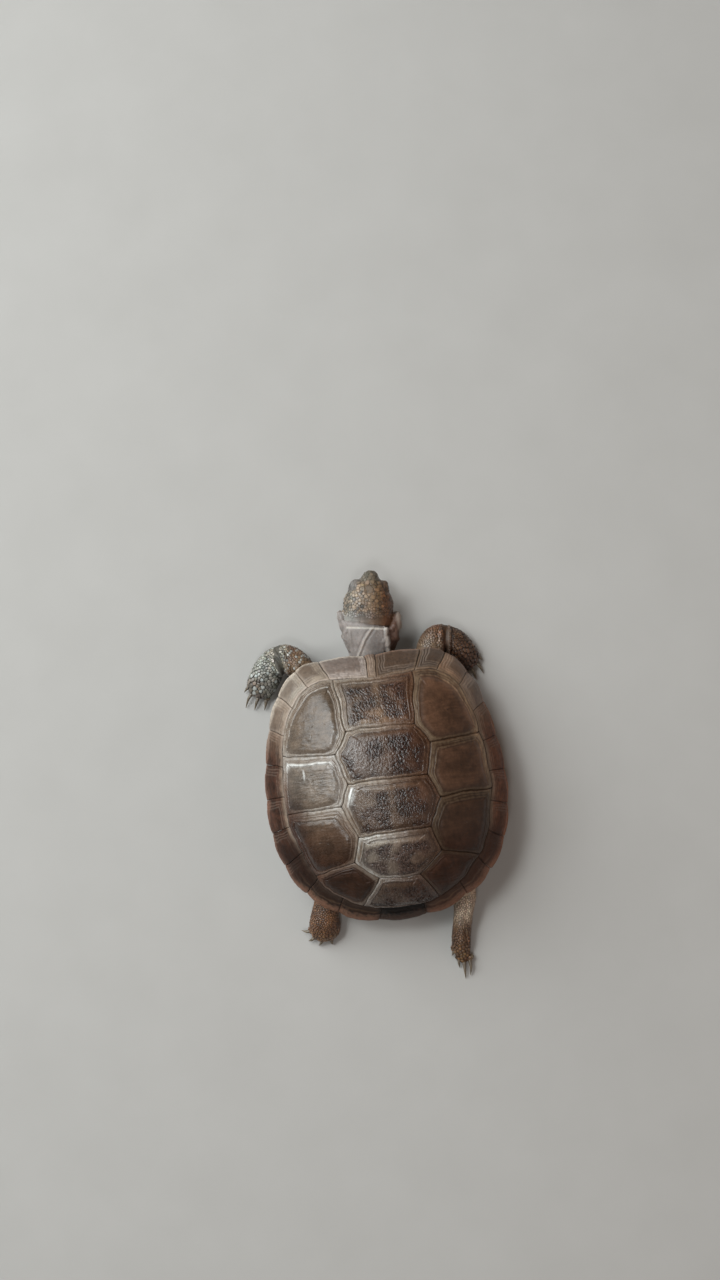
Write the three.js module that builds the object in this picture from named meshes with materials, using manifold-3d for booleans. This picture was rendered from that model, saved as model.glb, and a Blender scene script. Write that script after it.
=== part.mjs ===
// A young tortoise lying on its plastron, head and legs stretched out, as a life-size museum model.
// Millimetres, +Z up, floor at z = 0, head toward -Y, the animal's left side toward +X.
import * as THREE from 'three';
import Module from 'manifold-3d';

const wasm = await Module();
wasm.setup();

// ---- sizes --------------------------------------------------------------------------------------
const GAP = 0.3; // clearance between neighbouring pieces
const SHELL_TOP = 29.2; // height of the dome
const PLATE = 1.8; // thickness of a dome plate
const PLASTRON = 2; // thickness of the belly plate
const SHELL_MID_AHEAD = 0.4; // middle of the carapace, ahead of the frame's own middle line
const MID_LEFT = 1.2; // middle of the whole animal's box, left of the keel
const MID_AHEAD = 1.78; // and ahead of it
const DOME_ROUND = 2.35; // how late the dome starts to fall
const DOME_STEEP = 0.72; // how steeply it meets the rim

// Read every 15 degrees from the front of the rim to the back of it, the same on both sides.
const RIM_RADIUS = [30.4, 31.6, 33.9, 32.4, 29.8, 28.3, 28.1, 28.8, 30.1, 31.3, 31.7, 31.6, 31.3];
const RIM_HEIGHT = [13, 12.9, 12.6, 11.4, 10.2, 9.6, 9.4, 9.3, 9.3, 9.6, 9.6, 9.0, 8.6];
const SEAM_SHARE = [0.813, 0.823, 0.847, 0.867, 0.865, 0.855, 0.845, 0.84, 0.835, 0.845, 0.875, 0.895, 0.89];
const BELLY_RADIUS = [26.6, 26.2, 22.6, 20.4, 20.8, 21, 21, 21, 21.2, 21.4, 23, 24.4, 22.6];

// Seams between the vertebral plates: half the seam's length, and how far ahead.
const VERTEBRAL_SEAM = [[8, 13.5], [8.8, 1.7], [8.3, -10.1], [4.5, -20.4]];
// Corners where the costal seams meet the vertebrals: how far out, and how far ahead.
const COSTAL_CORNER = [[11, 8.4], [11.4, -3.4], [10.1, -15.9]];
// Angle from the front at which each costal seam reaches the marginals.
const COSTAL_END = [20, 67.5, 99.5, 134.5, 161];
// Angles from the front of the seams between the marginals, from the nuchal to the supracaudal.
const MARGINAL_SEAM = [2.4, 21.5, 31.5, 43.5, 57, 73, 90, 106, 121, 136, 151, 170];

// ---- small helpers ------------------------------------------------------------------------------
const radians = (degrees) => (degrees * Math.PI) / 180;
const mix = (a, b, t) => a + (b - a) * t;
const smooth = (from, to, x) => {
  const t = Math.min(Math.max((x - from) / (to - from), 0), 1);
  return t * t * (3 - 2 * t);
};

// A point by its distance left of the keel, ahead of the shell's middle line and above the floor.
const place = (left, ahead, up) => new THREE.Vector3(left - MID_LEFT, MID_AHEAD - ahead, up);

// Smooth curve through values set every 15 degrees, mirrored at both ends.
function around(values, degrees) {
  const folded = Math.abs(((degrees + 180) % 360 + 360) % 360 - 180);
  const x = folded / 15;
  const i = Math.min(Math.floor(x), values.length - 2);
  const t = x - i;
  const at = (k) => values[k < 0 ? -k : k >= values.length ? 2 * values.length - 2 - k : k];
  const [a, b, c, d] = [at(i - 1), at(i), at(i + 1), at(i + 2)];
  return b + 0.5 * t * (c - a + t * (2 * a - 5 * b + 4 * c - d + t * (3 * (b - c) + d - a)));
}

// Catmull-Rom resampling of rows of numbers.
function resample(rows, count) {
  return Array.from({ length: count + 1 }, (_, k) => {
    const x = (k / count) * (rows.length - 1);
    const i = Math.min(Math.floor(x), rows.length - 2);
    const t = x - i;
    const at = (n) => rows[Math.min(Math.max(n, 0), rows.length - 1)];
    return rows[i].map((_, j) => {
      const [a, b, c, d] = [at(i - 1)[j], at(i)[j], at(i + 1)[j], at(i + 2)[j]];
      return b + 0.5 * t * (c - a + t * (2 * a - 5 * b + 4 * c - d + t * (3 * (b - c) + d - a)));
    });
  });
}

// A closed mesh from shared points and triangles, turned so that its faces look outward.
function closedMesh(points, triangles) {
  let volume = 0;
  for (const [a, b, c] of triangles) {
    volume += points[a].dot(new THREE.Vector3().crossVectors(points[b], points[c]));
  }
  const turned = volume < 0 ? triangles.map(([a, b, c]) => [a, c, b]) : triangles;
  const geometry = new THREE.BufferGeometry();
  const positions = points.flatMap((p) => p.toArray());
  geometry.setAttribute('position', new THREE.Float32BufferAttribute(positions, 3));
  geometry.setIndex(turned.flat());
  return geometry;
}

// Skin over loops of equal length, closed by a fan at each end.
function loft(loops) {
  const count = loops[0].length;
  const points = loops.flat();
  const triangles = [];
  for (let i = 0; i + 1 < loops.length; i += 1) {
    for (let k = 0; k < count; k += 1) {
      const [a, b] = [i * count + k, i * count + ((k + 1) % count)];
      triangles.push([a, b, b + count], [a, b + count, a + count]);
    }
  }
  for (const [loop, first] of [[loops[0], 0], [loops.at(-1), (loops.length - 1) * count]]) {
    const middle = loop.reduce((sum, p) => sum.add(p), new THREE.Vector3()).divideScalar(count);
    const tip = points.push(middle) - 1;
    for (let k = 0; k < count; k += 1) {
      const [a, b] = [first + k, first + ((k + 1) % count)];
      triangles.push(first === 0 ? [b, a, tip] : [a, b, tip]);
    }
  }
  return closedMesh(points, triangles);
}

// A limb along stations of [left, ahead, up, half width, half height], flattened where it meets
// the floor. Its points can be pushed further along the head's axis, by their turn round the limb
// and their share of its length.
function limb(stations, sides, steps, grow = 0, push = null) {
  const rows = resample(stations, steps);
  const centres = rows.map(([left, ahead, up]) => place(left, ahead, up));
  const last = centres.length - 1;
  const loops = rows.map(([, , , width, height], i) => {
    const along = centres[Math.min(i + 1, last)].clone().sub(centres[Math.max(i - 1, 0)]).normalize();
    const side = new THREE.Vector3().crossVectors(along, new THREE.Vector3(0, 0, 1)).normalize();
    const up = new THREE.Vector3().crossVectors(side, along);
    const slip = i === 0 ? -grow : i === last ? grow : 0;
    return Array.from({ length: sides }, (_, k) => {
      const turn = radians((360 * (k + 0.5)) / sides);
      const point = centres[i].clone().addScaledVector(along, slip);
      point.addScaledVector(side, Math.cos(turn) * (width + grow));
      point.addScaledVector(up, Math.sin(turn) * (height + grow));
      if (push) point.addScaledVector(HEAD_FORWARD, push(turn, i / last));
      point.z = Math.max(point.z, -grow);
      return point;
    });
  });
  return loft(loops);
}

const solidOf = (geometry) => new wasm.Manifold(new wasm.Mesh({
  numProp: 3,
  vertProperties: new Float32Array(geometry.attributes.position.array),
  triVerts: new Uint32Array(geometry.index.array),
}));

function meshOf(solid) {
  const { numProp, vertProperties, triVerts } = solid.getMesh();
  const positions = [];
  for (let i = 0; i < vertProperties.length; i += numProp) {
    positions.push(vertProperties[i], vertProperties[i + 1], vertProperties[i + 2]);
  }
  const geometry = new THREE.BufferGeometry();
  geometry.setAttribute('position', new THREE.Float32BufferAttribute(positions, 3));
  geometry.setIndex([...triVerts]);
  return geometry;
}

// The largest single body left when one shape is cut away from another.
function trimmed(solid) {
  const bodies = solid.decompose();
  return bodies.reduce((best, body) => (body.volume() > best.volume() ? body : best));
}

const cut = (geometry, ...others) => meshOf(trimmed(
  others.reduce((solid, other) => solid.subtract(solidOf(other)), solidOf(geometry)),
));

// ---- group and materials ------------------------------------------------------------------------
const group = new THREE.Group();
group.name = 'tortoise';

function add(name, geometry, colour, roughness) {
  const material = new THREE.MeshStandardMaterial({ color: colour, roughness });
  material.name = name;
  const mesh = new THREE.Mesh(geometry, material);
  mesh.name = name;
  geometry.computeVertexNormals();
  group.add(mesh);
}

const VERTEBRAL_TINT = 0x5c4f43;
const COSTAL_TINT = 0x75685a;
const MARGINAL_TINT = 0x8c7b66;
const BELLY_TINT = 0xa8936b;
const SKIN_TINT = 0x7d7c6b;
const HEAD_TINT = 0x6f6a58;
const CLAW_TINT = 0x6b6154;
const EYE_TINT = 0x14110e;

// ---- the dome -----------------------------------------------------------------------------------
// Angles run from the front of the rim, positive toward the animal's left; share is 0 at the top
// and 1 at the rim.
function domeAt(degrees, share) {
  const radius = around(RIM_RADIUS, degrees) * share;
  const rim = around(RIM_HEIGHT, degrees);
  const rise = (1 - Math.min(share, 1) ** DOME_ROUND) ** DOME_STEEP;
  return place(
    radius * Math.sin(radians(degrees)),
    SHELL_MID_AHEAD + radius * Math.cos(radians(degrees)),
    mix(rim, SHELL_TOP, rise),
  );
}

// The dome's point over a plan position, and that point moved inward by a depth along the dome's normal.
function domeOver(left, ahead, depth = 0) {
  const height = (l, a) => {
    const degrees = (Math.atan2(l, a - SHELL_MID_AHEAD) * 180) / Math.PI;
    const share = Math.hypot(l, a - SHELL_MID_AHEAD) / around(RIM_RADIUS, degrees);
    return domeAt(degrees, share).z;
  };
  const step = 0.2;
  const slopeLeft = (height(left + step, ahead) - height(left - step, ahead)) / (2 * step);
  const slopeAhead = (height(left, ahead + step) - height(left, ahead - step)) / (2 * step);
  const normal = new THREE.Vector3(-slopeLeft, slopeAhead, 1).normalize();
  return place(left, ahead, height(left, ahead)).addScaledVector(normal, -depth);
}

// ---- vertebral and costal plates ----------------------------------------------------------------
// A domed plate inside a plan outline: seam gap all round, a raised middle and square sides.
function domePlate(outline, raise) {
  const count = outline.length;
  const middle = outline.reduce(([x, y], [l, a]) => [x + l / count, y + a / count], [0, 0]);
  const inner = outline.map(([left, ahead], k) => {
    const before = outline[(k + count - 1) % count];
    const after = outline[(k + 1) % count];
    const along = new THREE.Vector2(after[0] - before[0], after[1] - before[1]).normalize();
    const inward = new THREE.Vector2(-along.y, along.x);
    const toMiddle = new THREE.Vector2(middle[0] - left, middle[1] - ahead);
    if (inward.dot(toMiddle) < 0) inward.negate();
    return [left + (inward.x * GAP) / 2, ahead + (inward.y * GAP) / 2];
  });
  const rings = [[1, 0], [0.86, 0.75], [0.5, 1]];
  const points = [];
  for (const [share, lift] of rings) {
    for (const [left, ahead] of inner) {
      points.push(domeOver(mix(middle[0], left, share), mix(middle[1], ahead, share), -raise * lift));
    }
  }
  for (const share of [1, 0.52]) {
    for (const [left, ahead] of inner) {
      points.push(domeOver(mix(middle[0], left, share), mix(middle[1], ahead, share), PLATE));
    }
  }
  const top = points.push(domeOver(middle[0], middle[1], -raise)) - 1;
  const under = points.push(domeOver(middle[0], middle[1], PLATE)) - 1;
  const triangles = [];
  for (let k = 0; k < count; k += 1) {
    const next = (k + 1) % count;
    for (let ring = 0; ring < rings.length - 1; ring += 1) {
      const [a, b, c, d] = [k, next, next + count, k + count].map((n) => n + ring * count);
      triangles.push([a, b, c], [a, c, d]);
    }
    const last = (rings.length - 1) * count;
    triangles.push([last + k, last + next, top]);
    const low = rings.length * count;
    triangles.push([k, low + k, low + next], [k, low + next, next]);
    const deep = low + count;
    triangles.push([low + next, low + k, deep + k], [low + next, deep + k, deep + next]);
    triangles.push([deep + next, deep + k, under]);
  }
  return closedMesh(points, triangles);
}

// Points along an outline of corners, none further apart than a step.
function dense(corners, step) {
  return corners.flatMap(([left, ahead], k) => {
    const [toLeft, toAhead] = corners[(k + 1) % corners.length];
    const pieces = Math.max(1, Math.round(Math.hypot(toLeft - left, toAhead - ahead) / step));
    return Array.from({ length: pieces }, (_, n) => [
      mix(left, toLeft, n / pieces),
      mix(ahead, toAhead, n / pieces),
    ]);
  });
}

// Plan positions along the seam between the dome plates and the marginals.
const seamArc = (from, to, pieces, side) => Array.from({ length: pieces + 1 }, (_, n) => {
  const degrees = mix(from, to, n / pieces);
  const radius = around(RIM_RADIUS, degrees) * around(SEAM_SHARE, degrees);
  const [out, ahead] = [Math.sin(radians(degrees)), Math.cos(radians(degrees))];
  return [side * radius * out, SHELL_MID_AHEAD + radius * ahead];
});

const mirrored = (half) => [...half, ...half.map(([left, ahead]) => [-left, ahead]).reverse()];
const frontArc = seamArc(0, COSTAL_END[0], 4, 1).slice(1);
const rearArc = seamArc(COSTAL_END[4], 180, 4, 1).slice(0, -1);
const vertebralHalves = [
  [...frontArc, VERTEBRAL_SEAM[0]],
  ...[0, 1, 2].map((k) => [VERTEBRAL_SEAM[k], COSTAL_CORNER[k], VERTEBRAL_SEAM[k + 1]]),
  [VERTEBRAL_SEAM[3], ...rearArc],
];
vertebralHalves.forEach((half, k) => {
  add(`vertebral_${k + 1}`, domePlate(dense(mirrored(half), 4), 0.5), VERTEBRAL_TINT, 0.6);
});

const innerCorners = [
  [COSTAL_CORNER[0], VERTEBRAL_SEAM[0]],
  [COSTAL_CORNER[1], VERTEBRAL_SEAM[1], COSTAL_CORNER[0]],
  [COSTAL_CORNER[2], VERTEBRAL_SEAM[2], COSTAL_CORNER[1]],
  [VERTEBRAL_SEAM[3], COSTAL_CORNER[2]],
];
for (const [letter, side] of [['l', 1], ['r', -1]]) {
  innerCorners.forEach((corners, k) => {
    const arc = seamArc(COSTAL_END[k], COSTAL_END[k + 1], k === 0 ? 8 : 5, side);
    const outline = dense([...arc, ...corners.map(([left, ahead]) => [side * left, ahead])], 4.4);
    add(`costal_${letter}${k + 1}`, domePlate(outline, 0.45), COSTAL_TINT, 0.6);
  });
}

// ---- marginal plates ----------------------------------------------------------------------------
// How far the rim is joined to the belly at an angle: 0 over the legs, 1 along the bridge.
const bridge = (degrees) => smooth(50, 64, Math.abs(degrees)) * (1 - smooth(116, 130, Math.abs(degrees)));

// Cross-section of the rim below the widest line, as [inward, below], free and along the bridge.
const FREE_LIP = [[0.35, 0.75], [1.1, 1], [2.1, 0.3]];
const BRIDGE_LIP = [[0.7, 2.2], [1.9, 3.9], [3.7, 5]];
const FREE_BACK = [[2.6, -0.8], [3.4, -3]];
const BRIDGE_BACK = [[3.8, 3.2], [2.9, -0.8]];

function rimSection(degrees, bulge) {
  const radius = around(RIM_RADIUS, degrees);
  const rim = around(RIM_HEIGHT, degrees);
  const seam = around(SEAM_SHARE, degrees) + GAP / 2 / radius;
  const outward = new THREE.Vector3(Math.sin(radians(degrees)), -Math.cos(radians(degrees)), 0);
  const centre = place(0, SHELL_MID_AHEAD, 0);
  const joined = bridge(degrees);
  const outer = [0, 0.38, 0.76, 1].map((t) => {
    const point = domeAt(degrees, mix(seam, 1, t));
    return point.addScaledVector(outward, bulge * Math.sin(Math.PI * 0.62 * t));
  });
  const low = FREE_LIP.map(([inward, below], k) => [
    mix(inward, BRIDGE_LIP[k][0], joined),
    mix(below, BRIDGE_LIP[k][1], joined),
  ]);
  const back = FREE_BACK.map(([inward, below], k) => [
    mix(inward, BRIDGE_BACK[k][0], joined),
    mix(below, BRIDGE_BACK[k][1], joined),
  ]);
  const turned = [...low, ...back].map(([inward, below]) => {
    const point = centre.clone().addScaledVector(outward, radius - inward + bulge * 0.6);
    point.z = rim - below;
    return point;
  });
  const left = radius * seam * Math.sin(radians(degrees));
  const ahead = radius * seam * Math.cos(radians(degrees));
  return [...outer, ...turned, domeOver(left, SHELL_MID_AHEAD + ahead, PLATE)];
}

// One plate of the rim between two angles, a little swollen in the middle.
function rimPlate(from, to, steps) {
  const inset = (GAP / 2 / 30) * (180 / Math.PI);
  const loops = Array.from({ length: steps + 1 }, (_, n) => {
    const t = n / steps;
    return rimSection(mix(from + inset, to - inset, t), 0.35 * Math.sin(Math.PI * t) ** 0.7);
  });
  return loft(loops);
}

add('nuchal', rimPlate(-MARGINAL_SEAM[0], MARGINAL_SEAM[0], 2), MARGINAL_TINT, 0.6);
for (const [letter, side] of [['l', 1], ['r', -1]]) {
  for (let k = 0; k < 11; k += 1) {
    const [from, to] = [side * MARGINAL_SEAM[k], side * MARGINAL_SEAM[k + 1]].sort((a, b) => a - b);
    add(`marginal_${letter}${k + 1}`, rimPlate(from, to, 3), MARGINAL_TINT, 0.6);
  }
}
add('supracaudal', rimPlate(MARGINAL_SEAM[11], 360 - MARGINAL_SEAM[11], 4), MARGINAL_TINT, 0.6);

// ---- belly plate --------------------------------------------------------------------------------
function bellyPlate(grow = 0) {
  const turns = 32;
  const shares = [0, 0.6, 0.76, 0.89, 1];
  const layer = (top) => shares.slice(1).flatMap((share) => Array.from({ length: turns }, (_, k) => {
    const degrees = (360 * k) / turns;
    const folded = degrees > 180 ? degrees - 360 : degrees;
    const joined = bridge(folded);
    const reach = mix(around(BELLY_RADIUS, folded), around(RIM_RADIUS, folded) - 4.4, joined);
    const edge = mix(0.5, around(RIM_HEIGHT, folded) - 5, joined);
    const radius = (reach + grow) * share;
    const lift = edge * smooth(0.62, 1.06, share) * 1.12;
    const up = lift + (top ? PLASTRON * mix(1, 0.8, smooth(0.8, 1, share)) + grow : -grow);
    return place(
      radius * Math.sin(radians(folded)),
      SHELL_MID_AHEAD + radius * Math.cos(radians(folded)),
      up,
    );
  }));
  const points = [...layer(false), ...layer(true)];
  const rings = shares.length - 1;
  const half = rings * turns;
  const low = points.push(place(0, SHELL_MID_AHEAD, -grow)) - 1;
  const high = points.push(place(0, SHELL_MID_AHEAD, PLASTRON + grow)) - 1;
  const triangles = [];
  for (let k = 0; k < turns; k += 1) {
    const next = (k + 1) % turns;
    triangles.push([low, next, k], [high, half + k, half + next]);
    for (let ring = 0; ring + 1 < rings; ring += 1) {
      const [a, b] = [ring * turns + k, ring * turns + next];
      triangles.push([a, b, b + turns], [a, b + turns, a + turns]);
      const [c, d] = [half + a, half + b];
      triangles.push([d, c, c + turns], [d, c + turns, d + turns]);
    }
    const [a, b] = [(rings - 1) * turns + k, (rings - 1) * turns + next];
    triangles.push([a, b, half + b], [a, half + b, half + a]);
  }
  return closedMesh(points, triangles);
}

add('plastron', bellyPlate(), BELLY_TINT, 0.6);

// ---- trunk --------------------------------------------------------------------------------------
// Rows of [inward from the rim, share of the height from the belly to just above the rim].
const TRUNK_WALL = [[4.5, 1], [4.8, 0.72], [7.6, 0.42], [17.2, 0]];

function trunkBody(grow = 0) {
  const turns = 28;
  const floor = PLASTRON + GAP - grow;
  const centre = place(0, SHELL_MID_AHEAD, 0);
  const rows = [0.3, 0.55, 0.74].map((share) => (degrees) => {
    const radius = around(RIM_RADIUS, degrees) * share;
    return domeOver(
      radius * Math.sin(radians(degrees)),
      SHELL_MID_AHEAD + radius * Math.cos(radians(degrees)),
      PLATE + 1.6 * GAP - grow,
    );
  });
  for (const [inward, height] of TRUNK_WALL) {
    rows.push((degrees) => {
      const radius = around(RIM_RADIUS, degrees) - inward + grow;
      const up = mix(floor, around(RIM_HEIGHT, degrees) + 2.4, height);
      const outward = new THREE.Vector3(Math.sin(radians(degrees)), -Math.cos(radians(degrees)), 0);
      return centre.clone().addScaledVector(outward, radius).setZ(up);
    });
  }
  const points = rows.flatMap((row) => Array.from({ length: turns }, (_, k) => row((360 * k) / turns)));
  const top = points.push(domeOver(0, SHELL_MID_AHEAD, PLATE + GAP - grow)) - 1;
  const low = points.push(place(0, SHELL_MID_AHEAD, floor)) - 1;
  const triangles = [];
  for (let k = 0; k < turns; k += 1) {
    const next = (k + 1) % turns;
    for (let row = 0; row + 1 < rows.length; row += 1) {
      const [a, b] = [row * turns + k, row * turns + next];
      triangles.push([a, b, b + turns], [a, b + turns, a + turns]);
    }
    const last = (rows.length - 1) * turns;
    triangles.push([top, next, k], [low, last + k, last + next]);
  }
  return closedMesh(points, triangles);
}

const trunkRoom = trunkBody(GAP);
const bellyRoom = bellyPlate(GAP);
add('trunk', trunkBody(), SKIN_TINT, 0.8);

// ---- head, lower jaw and eyes -------------------------------------------------------------------
const HEAD_BASE = [-0.6, 37.9, 8.9]; // left, ahead, up of the nape crease
const HEAD_TURN = 9.6; // degrees toward the animal's right
const HEAD_LIFT = 4; // degrees upward
const HEAD_ROOT = -1.4;
const HEAD_LENGTH = 13.5;
const HEAD_FORWARD = new THREE.Vector3(-Math.sin(radians(HEAD_TURN)), -Math.cos(radians(HEAD_TURN)), 0);
const EYE = 1.8; // radius of the eyeball
const EYE_AT = [9.3, 2.95, 0.95]; // along the head, out from its middle, up
const MOUTH = [[6.2, -0.85], [8, -1.3], [10.5, -1.6], [12.2, -1.6], [15, -1.75]]; // along, up

// From distances along, left of and above the head's own axis.
function headPoint(along, left, up) {
  const [turn, lift] = [radians(HEAD_TURN), radians(HEAD_LIFT)];
  const forward = along * Math.cos(lift) - up * Math.sin(lift);
  return place(
    HEAD_BASE[0] - forward * Math.sin(turn) + left * Math.cos(turn),
    HEAD_BASE[1] + forward * Math.cos(turn) + left * Math.sin(turn),
    HEAD_BASE[2] + along * Math.sin(lift) + up * Math.cos(lift),
  );
}

// Rows of [along, half width, top, bottom].
const HEAD_ROWS = [
  [HEAD_ROOT, 5.1, 3.3, -3.2],
  [1, 5.75, 4.1, -4.0],
  [3.6, 5.95, 4.55, -4.6],
  [6, 5.9, 4.65, -4.7],
  [8, 5.2, 4.5, -4.4],
  [9.6, 4.2, 4.0, -4.0],
  [10.8, 3.0, 3.35, -3.6],
  [11.8, 2.15, 2.75, -3.1],
  [12.8, 1.65, 2.05, -2.5],
  [HEAD_LENGTH, 0.85, 1.15, -1.7],
];

function headBody(grow = 0) {
  const sides = 14;
  const loops = resample(HEAD_ROWS, 10).map(([along, width, top, bottom], i) => {
    const slip = i === 0 ? -grow : i === 10 ? grow : 0;
    return Array.from({ length: sides }, (_, k) => {
      const turn = radians((360 * (k + 0.5)) / sides);
      const rise = Math.sin(turn) > 0 ? top : -bottom;
      const [across, up] = [Math.cos(turn), Math.sin(turn)];
      return headPoint(
        along + slip,
        Math.sign(across) * Math.abs(across) ** 0.88 * (width + grow),
        Math.sign(up) * Math.abs(up) ** 0.9 * (rise + grow),
      );
    });
  });
  return loft(loops);
}

// The space under the mouth line, from its corner to past the chin.
function underMouth(grow) {
  const loops = MOUTH.map(([along, up], i) => {
    const from = i === 0 ? along - grow : along;
    const corners = [[8, up + grow], [8, -8], [-8, -8], [-8, up + grow]];
    return corners.map(([left, height]) => headPoint(from, left, height));
  });
  return loft(loops);
}

function ball(centre, radius) {
  const solid = new THREE.IcosahedronGeometry(radius, 2);
  const seen = new Map();
  const points = [];
  const index = [];
  const from = solid.attributes.position;
  for (let i = 0; i < from.count; i += 1) {
    const point = new THREE.Vector3().fromBufferAttribute(from, i);
    const key = point.toArray().map((v) => v.toFixed(4)).join();
    if (!seen.has(key)) seen.set(key, points.push(point.add(centre)) - 1);
    index.push(seen.get(key));
  }
  const triangles = [];
  for (let i = 0; i < index.length; i += 3) triangles.push(index.slice(i, i + 3));
  return closedMesh(points, triangles);
}

const wholeHead = headBody();
const eyes = [1, -1].map((side) => headPoint(EYE_AT[0], side * EYE_AT[1], EYE_AT[2]));
const [leftSocket, rightSocket] = eyes.map((centre) => ball(centre, EYE + GAP));
const jaw = solidOf(wholeHead).intersect(solidOf(underMouth(0)));
const skull = solidOf(wholeHead).subtract(solidOf(underMouth(GAP)));
add('head', cut(meshOf(skull), leftSocket, rightSocket), HEAD_TINT, 0.7);
add('lower_jaw', meshOf(jaw), HEAD_TINT, 0.7);
add('eye_l', ball(eyes[0], EYE), EYE_TINT, 0.2);
add('eye_r', ball(eyes[1], EYE), EYE_TINT, 0.2);

// ---- neck and tail ------------------------------------------------------------------------------
// The neck ends in a loose sleeve of skin whose lip runs forward along both sides of the head.
const NECK = [
  [0, 20, 8.2, 5.2, 4.4],
  [0, 28, 7.9, 4.7, 4.1],
  [-0.2, 31, 7.9, 4.7, 4.1],
  [-0.6, 33.2, 8.3, 6.1, 4.5],
  [-0.75, 35, 8.6, 7.4, 4.9],
  [-0.75, 38.3, 8.85, 7.6, 5.0],
];
const LIP_LEFT = 2.9; // how far the lip reaches past the nape on each side
const LIP_RIGHT = 4.0;
const LIP_SKEW = 3.4; // how much further the sleeve's left side is drawn forward than its right

function lipReach(turn, share) {
  const fromTop = Math.abs(((turn + Math.PI / 2) % (2 * Math.PI)) - Math.PI);
  const left = smooth(-1, 1, -Math.cos(turn));
  const side = mix(LIP_RIGHT, LIP_LEFT, left) * smooth(0.95, 1.35, fromTop);
  const reach = side * mix(1, 0.6, smooth(1.9, 2.7, fromTop)) + LIP_SKEW * (left - 0.5);
  return reach * smooth(0.62, 1, share);
}

add('neck', cut(limb(NECK, 16, 10, 0, lipReach), trunkRoom, bellyRoom, headBody(GAP)), SKIN_TINT, 0.8);

const TAIL = [
  [0, -20, 6.6, 2.6, 2.4],
  [0.4, -25, 5.4, 2.2, 2],
  [1.3, -28, 4, 1.5, 1.4],
  [2.4, -30, 2.5, 0.6, 0.6],
];
add('tail', cut(limb(TAIL, 10, 6), trunkRoom, bellyRoom), SKIN_TINT, 0.8);

// ---- legs and claws -----------------------------------------------------------------------------
// Each leg has stations of [left, ahead, up, half width, half height] and claws of [base, middle, tip].
const LEGS = {
  fore_l: {
    stations: [
      [11, 21, 7.6, 3, 2.9], [15, 28.5, 7.2, 3.2, 3.1], [19, 33, 6.2, 3.4, 3.3],
      [22.8, 32.4, 4.6, 3.6, 3.1], [25.4, 29.3, 3, 3.7, 2.8], [26.8, 26.8, 1.7, 3.3, 1.9],
      [27.3, 25.7, 1, 1.9, 1.05],
    ],
    claws: [
      [[28.9, 28.2, 1.7], [29.9, 27.6, 1.6], [30.7, 26.9, 0.8]],
      [[28.5, 26.7, 1.5], [29.8, 25.2, 1.5], [30.8, 23.2, 0.5]],
      [[27.3, 25.6, 1.4], [28.1, 23.9, 1.4], [28.8, 22.3, 0.5]],
      [[25.6, 25, 1.4], [25.9, 23.4, 1.3], [26.4, 22, 0.5]],
    ],
  },
  fore_r: {
    stations: [
      [-10.5, 21, 7.6, 3, 2.9], [-13.4, 28.5, 7.2, 3.2, 3.1], [-16.6, 33, 6.2, 3.5, 3.3],
      [-20.2, 32.2, 4.6, 3.6, 3.1], [-22.4, 29.6, 3, 3.6, 2.8], [-23.7, 27.2, 1.7, 3.2, 1.9],
      [-24.2, 26.1, 1, 1.9, 1.05],
    ],
    claws: [
      [[-25.8, 28.6, 1.7], [-26.8, 27.9, 1.6], [-27.5, 27, 0.8]],
      [[-25.4, 27.1, 1.5], [-26.5, 25.7, 1.5], [-27.3, 24, 0.5]],
      [[-24.2, 26, 1.4], [-24.9, 24.3, 1.4], [-25.4, 22.9, 0.5]],
      [[-22.5, 25.5, 1.4], [-22.7, 24, 1.3], [-23, 22.7, 0.5]],
    ],
  },
  hind_l: {
    stations: [
      [11, -16, 7, 3.2, 3.1], [15.4, -22, 5.8, 3.4, 3], [17.7, -26.6, 4.4, 3.2, 3],
      [18.5, -30, 3.2, 3.7, 3.1], [18.6, -32.4, 2.2, 3.5, 2.3], [18.6, -33.9, 1.2, 2.2, 1.2],
    ],
    claws: [
      [[21.8, -31.4, 1.9], [22.9, -31.7, 1.8], [24.2, -31.3, 1]],
      [[21, -33, 1.6], [22, -33.7, 1.5], [22.9, -34, 0.6]],
      [[19.3, -33.9, 1.5], [20, -34.8, 1.4], [20.6, -35.4, 0.5]],
      [[17.5, -33.9, 1.5], [17.5, -34.9, 1.4], [17.3, -35.6, 0.5]],
    ],
  },
  hind_r: {
    stations: [
      [-10.5, -16, 7, 3.2, 3.1], [-14.4, -23, 6, 3.2, 3], [-15.1, -28, 5, 2.8, 2.8],
      [-14.2, -33, 3.4, 2.3, 2.5], [-13.1, -38.3, 2.1, 2.3, 2.1], [-13.1, -41.6, 1.4, 1.9, 1.4],
      [-13.4, -43.4, 0.9, 1.1, 0.9],
    ],
    claws: [
      [[-11.3, -40.2, 1.5], [-10.9, -41.2, 1.5], [-10.5, -42, 0.8]],
      [[-12.1, -42.4, 1.3], [-11.9, -43.7, 1.4], [-12, -45, 0.6]],
      [[-13.2, -43.2, 1.2], [-13.1, -45.5, 1.4], [-13.1, -47.7, 0.5]],
      [[-14.4, -42.8, 1.3], [-14.6, -45, 1.5], [-14.3, -47, 0.6]],
    ],
  },
};
const CLAW_BASE = 0.52;
const CLAW_TIP = 0.16;

// Four claws standing on one band of horn along the edge of the toes.
function clawSet(claws, grow) {
  const rows = (path, from, to) => path.map((point, k) => {
    const size = mix(from, to, k / (path.length - 1));
    return [...point, size, size];
  });
  const band = limb(rows(claws.map(([base]) => base), 0.6, 0.6), 6, 3, grow);
  return claws.reduce(
    (solid, claw) => solid.add(solidOf(limb(rows(claw, CLAW_BASE, CLAW_TIP), 5, 2, grow))),
    solidOf(band),
  );
}

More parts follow.
